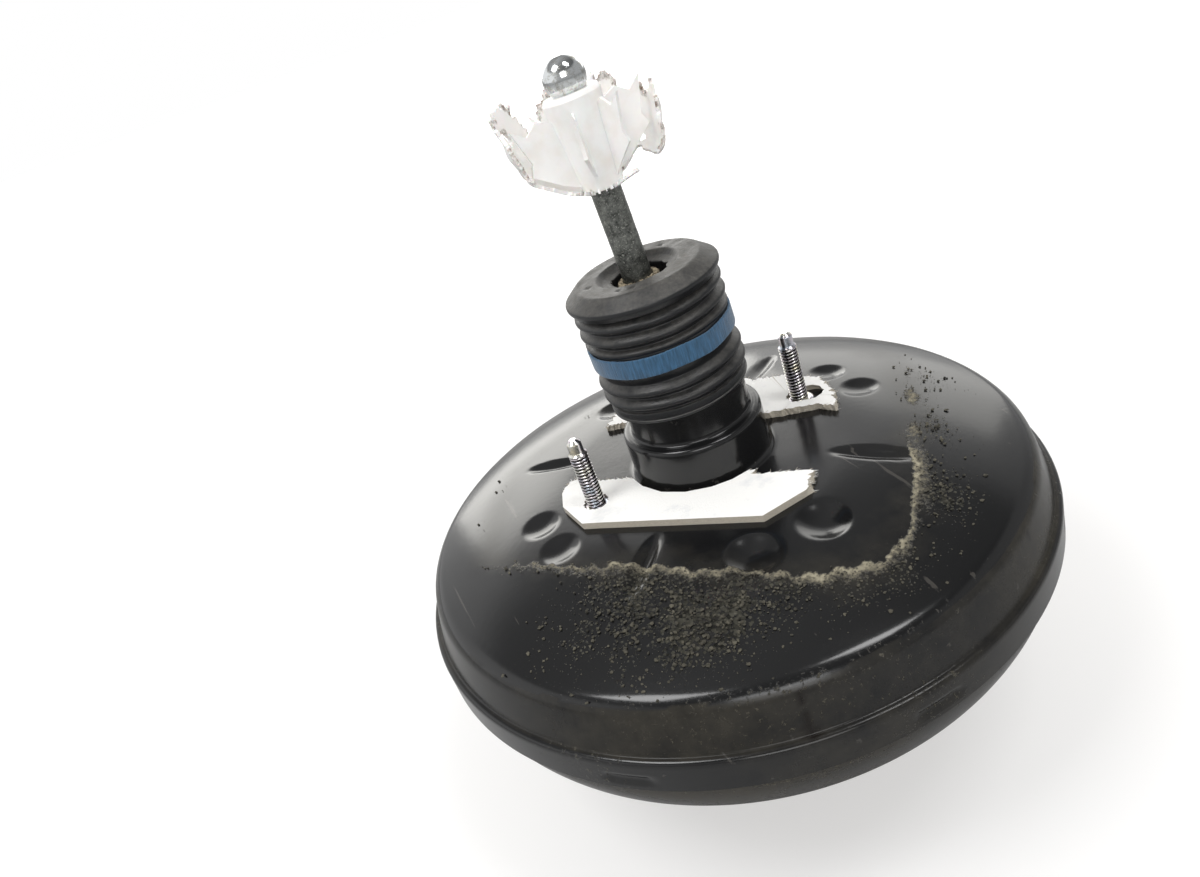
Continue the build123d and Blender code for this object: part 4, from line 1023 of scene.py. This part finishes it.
class BOOSTER_OT_clip(bpy.types.Operator):
    """White clip under the ball, torn open when it was levered off the pedal's pin"""

    bl_idname = "booster.clip"
    bl_label = "Ball clip"

    def execute(self, context):
        place = axis_matrix(ROD_FOOT, ROD_BALL)
        hub_r, foot, wall = 7.9, 117.4, 1.35
        bm = turned([(6.3, 116.8), (hub_r, 116.8, 0.3), (9.2, 126, 2), (11.2, 150.4, 0.4),
                     (10.4, 152, 0.3), (6.3, 152)], step=1.3, steps=72)
        roughen(bm, 0.25, 5)

        # The torn cup: a thin wall that flares from the hub, spun and then pulled by direction
        cup = bmesh.new()
        add_path(cup, [(hub_r, foot), (14, 119.5, 4), (25.5, 126.5, 5), (27.4, 139, 8), (28, 154)],
                 1.1, closed=False)
        spin_round(cup, 152)
        for v in cup.verts:
            x, y, z = v.co / MM
            r, turn = hypot(x, y), degrees(atan2(y, x)) % 360
            left = exp(-(turn_from(turn, 150) / 60) ** 2)
            right = exp(-(turn_from(turn, 352) / 30) ** 2)
            wide = 1 + 0.04 * left * (z - foot) / 36.6
            tall = (3.0 * left - 4.5 * right) * min(1, (r - hub_r) / 16)
            ripple = 1.5 * noise.noise(Vector((x, y, z)) / 8) * min(1, (r - hub_r) / 10)
            draw_out(v, (r * wide + ripple) / r)
            v.co.z = (z + tall + 0.8 * ripple) * MM
        gone = [face for face in cup.faces if cup_is_gone(*(face.calc_center_median() / MM))]
        bmesh.ops.delete(cup, geom=gone, context="FACES")
        edge_points = [v for v in cup.verts if v.is_boundary and v.co.z > 0.118]
        for v in edge_points:
            v.co += Vector([0.5 * MM * noise.noise(v.co / (1.1 * MM) + Vector((k, 0, 0)))
                            for k in (3, 17, 31)])
        bmesh.ops.smooth_vert(cup, verts=edge_points, factor=0.35, use_axis_x=True,
                              use_axis_y=True, use_axis_z=True)
        bmesh.ops.recalc_face_normals(cup, faces=cup.faces[:])
        worn = np.array([v.co / MM for v in edge_points])
        bmesh.ops.solidify(cup, geom=cup.faces[:], thickness=wall * MM)
        for turn, reach in ((0, 27), (60, 19), (120, 23), (180, 26.5), (240, 16), (300, 20)):
            add_rib(cup, turn, reach)
        join(bm, cup)
        piece = add_piece(bm, "torn_ball_clip", "clip", 35)

        # Torn edges: by distance from the cup's broken rim, worked out in batches
        co, batch = points_of(piece)[0], 4000
        torn = np.zeros(len(co))
        for start in range(0, len(co), batch):
            part = co[start:start + batch]
            near = np.sqrt(((part[:, None, :] - worn[None, :, :]) ** 2).sum(-1)).min(1)
            torn[start:start + batch] = 1 - rise(0.4, 4.2, near)
        mark(piece, torn=torn)
        piece.data.transform(place)
        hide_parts("ball_clip")
        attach(piece, "clip")
        return {"FINISHED"}


def gasket_outline(bm, remnant):
    """Draws a remnant's outline, in finer steps where it is torn; gives the mark of torn points."""
    torn_step, plain_step = 0.7, 2.5
    torn_mark = bm.verts.layers.int.new("torn")
    corners = [bm.verts.new((x * MM, y * MM, 0)) for x, y, _ in remnant]
    edges = [(bm.edges.new(pair), torn) for pair, (_, _, torn) in zip(
        zip(corners, corners[1:] + corners[:1]), remnant)]
    runs = [(e.verts[0].co.copy(), e.verts[1].co.copy()) for e, torn in edges if torn]
    for edge, torn in edges:
        cuts = max(1, int(edge.calc_length() / MM / (torn_step if torn else plain_step)))
        bmesh.ops.subdivide_edges(bm, edges=[edge], cuts=cuts)
    for v in bm.verts:
        v[torn_mark] = any((a - v.co).length + (b - v.co).length < (a - b).length + 1e-6
                           for a, b in runs)
    return torn_mark


def gasket_hole(bm, hole, seed):
    """Draws a stud's hole, given as its middle, radius, how much longer it is torn and which way;
    gives its middle and the mark of its points."""
    x, y, radius, longer, way = hole
    hole_mark = bm.verts.layers.int.new("hole")
    centre = Vector((x * MM, y * MM, 0))
    loop = bmesh.ops.create_circle(bm, segments=48, radius=MM,
                                   matrix=Matrix.Translation(centre))["verts"]
    for v in loop:
        out = v.co - centre
        reach = radius + longer * max(0, cos(atan2(out.y, out.x) - radians(way))) ** 1.5
        reach += 0.6 * noise.noise(out * 3000 + Vector((seed, 0, 0)))
        v.co += out.normalized() * (reach - 1) * MM
        v[hole_mark] = 1
    return centre, hole_mark


def add_hairs(bm, draw, roots, most=260):
    """Adds loose fibres that stick out of a torn edge."""
    for at, out in draw.sample(roots, min(len(roots), most)):
        length = draw.uniform(0.5, 2.2) * MM
        aim = (out + Vector((draw.uniform(-0.9, 0.9), draw.uniform(-0.9, 0.9),
                             draw.uniform(-0.1, 0.5)))).normalized()
        turn = Vector((0, 0, 1)).rotation_difference(aim).to_matrix().to_4x4()
        bmesh.ops.create_cone(bm, cap_ends=True, segments=3, radius1=0.15 * MM,
                              radius2=0.03 * MM, depth=length,
                              matrix=Matrix.Translation(at + aim * length * 0.4) @ turn)


def gasket_piece(name, remnant, hole, seed, thickness):
    """Torn sheet of fibre board that has split in three plies, with loose fibres at its tears."""
    plies, lift = 3, 0.02
    draw = random.Random(seed)
    bm = bmesh.new()
    torn_mark = gasket_outline(bm, remnant)
    middle = sum((Vector((x * MM, y * MM, 0)) for x, y, _ in remnant), Vector()) / len(remnant)
    centre, hole_mark = gasket_hole(bm, hole, seed)
    bmesh.ops.triangle_fill(bm, use_beauty=True, edges=bm.edges[:])
    top = bm.faces[:]
    moved = bm.verts[:]
    hairs = []
    for layer in range(plies + 1):
        for v in moved:
            if v[torn_mark]:
                inward = (middle - v.co).normalized()
                wave = noise.noise(v.co / (3.2 * MM) + Vector((seed, layer * 0.8, 0)))
                back = (0.9 if layer else 0) * draw.random() ** 2 + (0.5 if layer else 1.3) * wave
                v.co += inward * MM * back
                v.co += Vector((draw.uniform(-0.3, 0.3), draw.uniform(-0.3, 0.3), 0)) * MM
                hairs.append((v.co.copy(), -inward))
            elif v[hole_mark] and layer > 1:
                # Swollen fibres close in over the stud's collar
                out = Vector((v.co.x - centre.x, v.co.y - centre.y, 0))
                v.co -= out.normalized() * MM * draw.uniform(0.3, 0.9)
        if layer < plies:
            grown = bmesh.ops.extrude_face_region(bm, geom=top)["geom"]
            inner = [f for f in top if f.is_valid] if layer else []
            bmesh.ops.delete(bm, geom=inner, context="FACES_ONLY")
            moved = [g for g in grown if isinstance(g, bmesh.types.BMVert)]
            top = [g for g in grown if isinstance(g, bmesh.types.BMFace)]
            bmesh.ops.translate(bm, verts=moved, vec=(0, 0, thickness / plies))
    bmesh.ops.translate(bm, verts=bm.verts[:], vec=(0, 0, lift * MM))
    bmesh.ops.recalc_face_normals(bm, faces=bm.faces[:])
    add_hairs(bm, draw, hairs)
    piece = add_piece(bm, name, "gasket", 12)
    split = piece.data.attributes.new("split", "FLOAT", "FACE")
    for face in piece.data.polygons:
        split.data[face.index].value = 0.0 if face.normal.z > 0.9 else 1.0
    return piece


class BOOSTER_OT_gaskets(bpy.types.Operator):
    """Two torn remnants of the fibre gasket that sat between the shell and the bulkhead"""

    bl_idname = "booster.gaskets"
    bl_label = "Gasket remnants"

    def execute(self, context):
        thickness = context.scene.booster.gasket_thickness
        for name, node, remnant, hole, seed in (
            ("gasket_remnant_front", "gasket_front", FRONT_REMNANT,
             (-BULKHEAD_STUD_X, 0, 6.6, 0.3, 90), 5),
            ("gasket_remnant_rear", "gasket_rear", REAR_REMNANT,
             (BULKHEAD_STUD_X, 0, 6.7, 5.6, -20), 11),
        ):
            piece = gasket_piece(name, remnant, hole, seed, thickness)
            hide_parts(node)
            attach(piece, "booster_shell")
            co = points_of(piece)[0]
        return {"FINISHED"}


class BOOSTER_OT_springs(bpy.types.Operator):
    """The three open coils that shorten as the booster works"""

    bl_idname = "booster.springs"
    bl_label = "Springs"

    def execute(self, context):
        rod_low, rod_high = (corner.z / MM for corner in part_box("rod_return_spring"))
        check_low, check_high = (corner.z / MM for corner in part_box("check_valve_spring"))
        # Each coil: mean radius, wire radius, turns, low and high end, steps a turn
        for name, node, body, joint, keep, (x, y), sizes in (
            ("return_coil", "return_spring", "booster_shell", "piston_stroke", 0.54, (0, 0),
             (27.0, 1.8, 5, -100.5, -39.5, 64)),
            ("rod_coil", "rod_return_spring", "valve_piston", "valve_stroke", 0.92, (0, 0),
             (9.6, 0.8, 5, rod_low, rod_high, 40)),
            ("check_coil", "check_valve_spring", "booster_shell", "check_valve_lift", 0.77, VALVE,
             (4.1, 0.35, 4, check_low, check_high, 32)),
        ):
            piece = add_piece(coil(*sizes), name, "wire", 50, axis_matrix((x, y, 0)))
            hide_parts(node)
            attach(piece, body)
            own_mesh(piece)
        return {"FINISHED"}


class BOOSTER_OT_diaphragm(bpy.types.Operator):
    """Rubber diaphragm: the part on its plate, and the fold that rolls to the clamped bead"""

    bl_idname = "booster.diaphragm"
    bl_label = "Diaphragm"

    def execute(self, context):
        wall = 2.0
        bead = [(18.7, -10.8), (23.0, -10.8, 0.6), (23.0, -7.4, 0.6), (18.7, -7.4)]
        disc = both_sides([(22.6, -10.8), (52, -10.8, 3), (60, -15.7, 4), (99, -15.7, 5),
                           (106, -17.6)], -wall)
        roll = both_sides([(104.5, -17.2), (117.4, -22.7, 3), (124.4, -22.7, 3),
                           (132.6, -35.5)], -wall)
        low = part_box("diaphragm")[0].z / MM
        ring = [(130.4, low), (137.0, low, 0.6), (137.0, low + 4.3, 0.6), (130.4, low + 4.3)]
        for name, parts in (("diaphragm_disc", (bead, disc)), ("diaphragm_roll", (roll, ring))):
            bm = bmesh.new()
            for part in parts:
                join(bm, turned(part, step=2.5, steps=184))
            piece = add_piece(bm, name, "rubber", 50)
            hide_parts("diaphragm")
            if name == "diaphragm_disc":
                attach(piece, "valve_piston")
            else:
                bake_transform(piece)
        return {"FINISHED"}


class BOOSTER_OT_filter(bpy.types.Operator):
    """Foam filter in the tail, with the plug that shows in the boot's hole"""

    bl_idname = "booster.filter"
    bl_label = "Air filter"

    def execute(self, context):
        inner_r, outer_r, low, high = 7.4, 15.5, 58, 80
        bm = turned([(inner_r, low), (outer_r, low, 0.6), (outer_r, high, 0.4), (inner_r, high)],
                    1.2, 72)
        # The plug goes round the leaning rod, from the foam's top on
        plug = turned([(6.3, 0), (8.6, 0, 0.4), (8.6, 6.0, 0.9), (6.3, 6.4, 0.3)], 0.5, 72)
        axis = (ROD_BALL - ROD_FOOT).normalized()
        foot, top = (ROD_FOOT + axis * ((z - ROD_FOOT.z) / axis.z) for z in (high, high + 6))
        bmesh.ops.transform(plug, matrix=axis_matrix(foot, top), verts=plug.verts[:])
        join(bm, plug)
        roughen(bm, 0.5, 0.9)
        piece = add_piece(bm, "foam_filter", "foam", 60)
        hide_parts("air_filter")
        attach(piece, "valve_piston")
        return {"FINISHED"}


class BOOSTER_OT_check_valve(bpy.types.Operator):
    """Vacuum check valve's moulded body and the grommet that holds it in the front shell"""

    bl_idname = "booster.check_valve"
    bl_label = "Check valve"

    def execute(self, context):
        place = axis_matrix((*VALVE, 0))
        body = [(3, -125), (4.6, -125, 0.3), (5, -124.2, 0.3), (5, -110, 0.5), (9.5, -110, 0.5),
                (9.5, -107.5, 0.4), (6.5, -107.5), (6.5, -98, 0.4), (5.2, -98), (5.2, -106.5),
                (3, -106.5)]
        lips = [(6.6, -107.4), (12, -107.4, 0.8), (12, -105.05, 0.4), (8.9, -105), (8.9, -103.5),
                (11, -103.5, 0.3), (10, -101.1, 0.4), (6.6, -101.1)]
        for name, node, section, look, slot in (
            ("check_valve_moulding", "check_valve_body", body, "nylon", "valve_plastic"),
            ("valve_grommet_moulding", "valve_grommet", lips, "rubber", "black_rubber"),
        ):
            piece = add_piece(turned(section, 0.8, 72), name, look, 40, place)
            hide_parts(node)
            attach(piece, "booster_shell")
        return {"FINISHED"}


class BOOSTER_OT_inner_finishes(bpy.types.Operator):
    """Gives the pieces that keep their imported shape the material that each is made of"""

    bl_idname = "booster.inner_finishes"
    bl_label = "Inner finishes"

    def execute(self, context):
        looks = {
            "front_reinforcement": "sheet", "neck_seal": "rubber", "neck_guide": "nylon",
            "neck_retainer": "sheet", "valve_body": "phenolic", "diaphragm_plate": "sheet",
            "reaction_disc": "rubber", "output_rod": "stud", "output_rod_retainer": "sheet",
            "stop_key": "sheet", "control_plunger": "stud", "poppet": "rubber",
            "poppet_spring": "wire", "poppet_retainer": "nylon", "rod_spring_washer": "sheet",
            "filter_retainer": "nylon", "check_valve_seat": "nylon", "check_valve_disc": "rubber",
        }
        for node, look in looks.items():
            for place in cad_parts[node].material_slots:
                place.material = finish(look)
        return {"FINISHED"}


def make_floor(scene):
    """White paper, lit by the lamps so that it keeps the object's shadow."""
    bm = bmesh.new()
    bmesh.ops.create_grid(bm, x_segments=1, y_segments=1, size=30)
    bmesh.ops.translate(bm, verts=bm.verts[:], vec=(0, 0, FLOOR_Z * MM))
    mesh = bpy.data.meshes.new("floor")
    bm.to_mesh(mesh)
    bm.free()
    paper = Finish("white paper", Base_Color=linear("#bdbdbd"), Roughness=0.9,
                   Emission_Color=(1.0, 0.985, 0.97, 1))
    # Seen straight, the sheet whitens with distance, so that it has no far edge
    away = paper.add("VectorMath", {0: paper.place}, operation="LENGTH").outputs["Value"]
    fade = paper.span(away, 0.2, 1.6, 0.48, 1.0)
    straight = paper.add("LightPath").outputs["Is Camera Ray"]
    paper.link(Emission_Strength=paper.math("MULTIPLY", straight, fade))
    mesh.materials.append(paper.material)
    floor_piece = bpy.data.objects.new("floor", mesh)
    scene.collection.objects.link(floor_piece)


def make_world(scene):
    """White behind the object; in its mirror a bright room behind, dark overhead and in front;
    plain grey as a light."""
    world = bpy.data.worlds.new("studio")
    world.use_nodes = True
    scene.world = world
    tree = world.node_tree
    tree.nodes.clear()
    way = add_node(tree, "TexCoord").outputs["Generated"]
    split = add_node(tree, "SeparateXYZ", {0: way})
    far = add_node(tree, "VectorMath", {0: way, 1: (-0.45, 0.9, 0)}, operation="DOT_PRODUCT")
    room = add_node(tree, "MapRange", {"Value": far.outputs["Value"], "From Min": -0.35,
                                       "From Max": 0.35, "To Min": 0.42, "To Max": 1.0},
                    interpolation_type="SMOOTHSTEP")
    high = add_node(tree, "ValToRGB", {"Fac": split.outputs["Z"]})
    ramp = high.color_ramp
    for at, level in ((0.55, 1.0), (0.64, 0.3), (0.8, 0.36)):
        ramp.elements.new(at).color = (level, level, level, 1)
    ramp.elements[0].color = WHITE
    ramp.elements[-1].color = (0.5, 0.5, 0.5, 1)
    rays = add_node(tree, "LightPath")
    clear = add_node(tree, "Math", {0: rays.outputs["Is Camera Ray"],
                                    1: rays.outputs["Is Transmission Ray"]},
                     operation="MAXIMUM")
    white = add_node(tree, "Background", {"Color": WHITE, "Strength": 1.0})
    studio = add_node(tree, "Background", {"Color": high.outputs[0],
                                           "Strength": room.outputs[0]})
    plain = add_node(tree, "Background", {"Color": WHITE, "Strength": 0.55})
    mirrored = add_node(tree, "MixShader", {0: rays.outputs["Is Glossy Ray"],
                                            1: plain.outputs[0], 2: studio.outputs[0]})
    mixed = add_node(tree, "MixShader", {0: clear.outputs[0], 1: mirrored.outputs[0],
                                         2: white.outputs[0]})
    add_node(tree, "OutputWorld", {"Surface": mixed.outputs[0]})


def make_lamps(scene):
    """Area lamps, all aimed at the origin: two soft windows above, one in front, and two wide warm
    ones low behind, whose reflections lie over the far and left parts of the paint."""
    plain_light, warm_light = (1, 1, 1), (1, 0.985, 0.93)
    for name, at, width, height, power, colour in (
        ("window_left", (-0.8, -0.1, 1.45), 0.6, 0.6, 10.0, plain_light),
        ("window_right", (0.45, -0.55, 1.5), 0.35, 0.6, 6.5, plain_light),
        ("fill", (-0.6, -1.7, 1.0), 1.0, 0.8, 10.0, plain_light),
        ("low_window", (0.35, 2.2, 0.7), 1.7, 1.0, 16.0, warm_light),
        ("low_window_right", (1.7, 1.6, 0.72), 1.3, 0.9, 5.0, warm_light),
    ):
        lamp = bpy.data.lights.new(name, "AREA")
        lamp.shape, lamp.size, lamp.size_y = "RECTANGLE", width, height
        lamp.energy, lamp.color = power, colour
        holder = bpy.data.objects.new(name, lamp)
        holder.location = at
        holder.rotation_euler = (-Vector(at)).to_track_quat("-Z", "Y").to_euler()
        scene.collection.objects.link(holder)


def make_camera(scene):
    """Above and in front, 0.4 m away, so near that the pedal end looks larger."""
    right = Vector((0.86986839, -0.38482691, -0.30860529))
    down = Vector((-0.44402859, -0.33834483, -0.82967547))
    ahead = Vector((0.21486645, 0.85873804, -0.46518962))
    camera = bpy.data.objects.new("camera", bpy.data.cameras.new("camera"))
    camera.data.lens, camera.data.sensor_width = 26.33, 36
    turn = Matrix((right, -down, -ahead)).transposed().to_4x4()
    camera.matrix_world = Matrix.Translation((-0.11955, -0.31268, 0.19897)) @ turn
    scene.collection.objects.link(camera)
    scene.camera = camera


class BOOSTER_OT_stage(bpy.types.Operator):
    """Pale floor, soft lamps, a bright surround and the camera"""

    bl_idname = "booster.stage"
    bl_label = "Stage"

    def execute(self, context):
        for make in (make_floor, make_world, make_lamps, make_camera):
            make(context.scene)
        context.scene.view_settings.view_transform = "Standard"
        return {"FINISHED"}


MAKERS = (
    BOOSTER_OT_rear_shell, BOOSTER_OT_grit, BOOSTER_OT_front_shell, BOOSTER_OT_studs,
    BOOSTER_OT_boot, BOOSTER_OT_band, BOOSTER_OT_pedal_rod, BOOSTER_OT_clip, BOOSTER_OT_gaskets,
    BOOSTER_OT_springs, BOOSTER_OT_diaphragm, BOOSTER_OT_filter, BOOSTER_OT_check_valve,
    BOOSTER_OT_inner_finishes, BOOSTER_OT_stage,
)


class BOOSTER_PT_panel(bpy.types.Panel):
    """Lists the sizes and the makers of the booster's pieces"""

    bl_label = "Brake booster"
    bl_idname = "BOOSTER_PT_panel"
    bl_space_type = "VIEW_3D"
    bl_region_type = "UI"
    bl_category = "Booster"

    def draw(self, context):
        for name in BoosterSizes.__annotations__:
            self.layout.prop(context.scene.booster, name)
        for maker in MAKERS:
            self.layout.operator(maker.bl_idname)


CLASSES = (BoosterSizes, *MAKERS, BOOSTER_PT_panel)


def register():
    for cls in CLASSES:
        bpy.utils.register_class(cls)
    bpy.types.Scene.booster = PointerProperty(type=BoosterSizes)


def unregister():
    del bpy.types.Scene.booster
    for cls in reversed(CLASSES):
        bpy.utils.unregister_class(cls)


def main():
    register()
    for maker in MAKERS:
        group, name = maker.bl_idname.split(".")
        getattr(getattr(bpy.ops, group), name)()


if __name__ == "__main__":
    main()
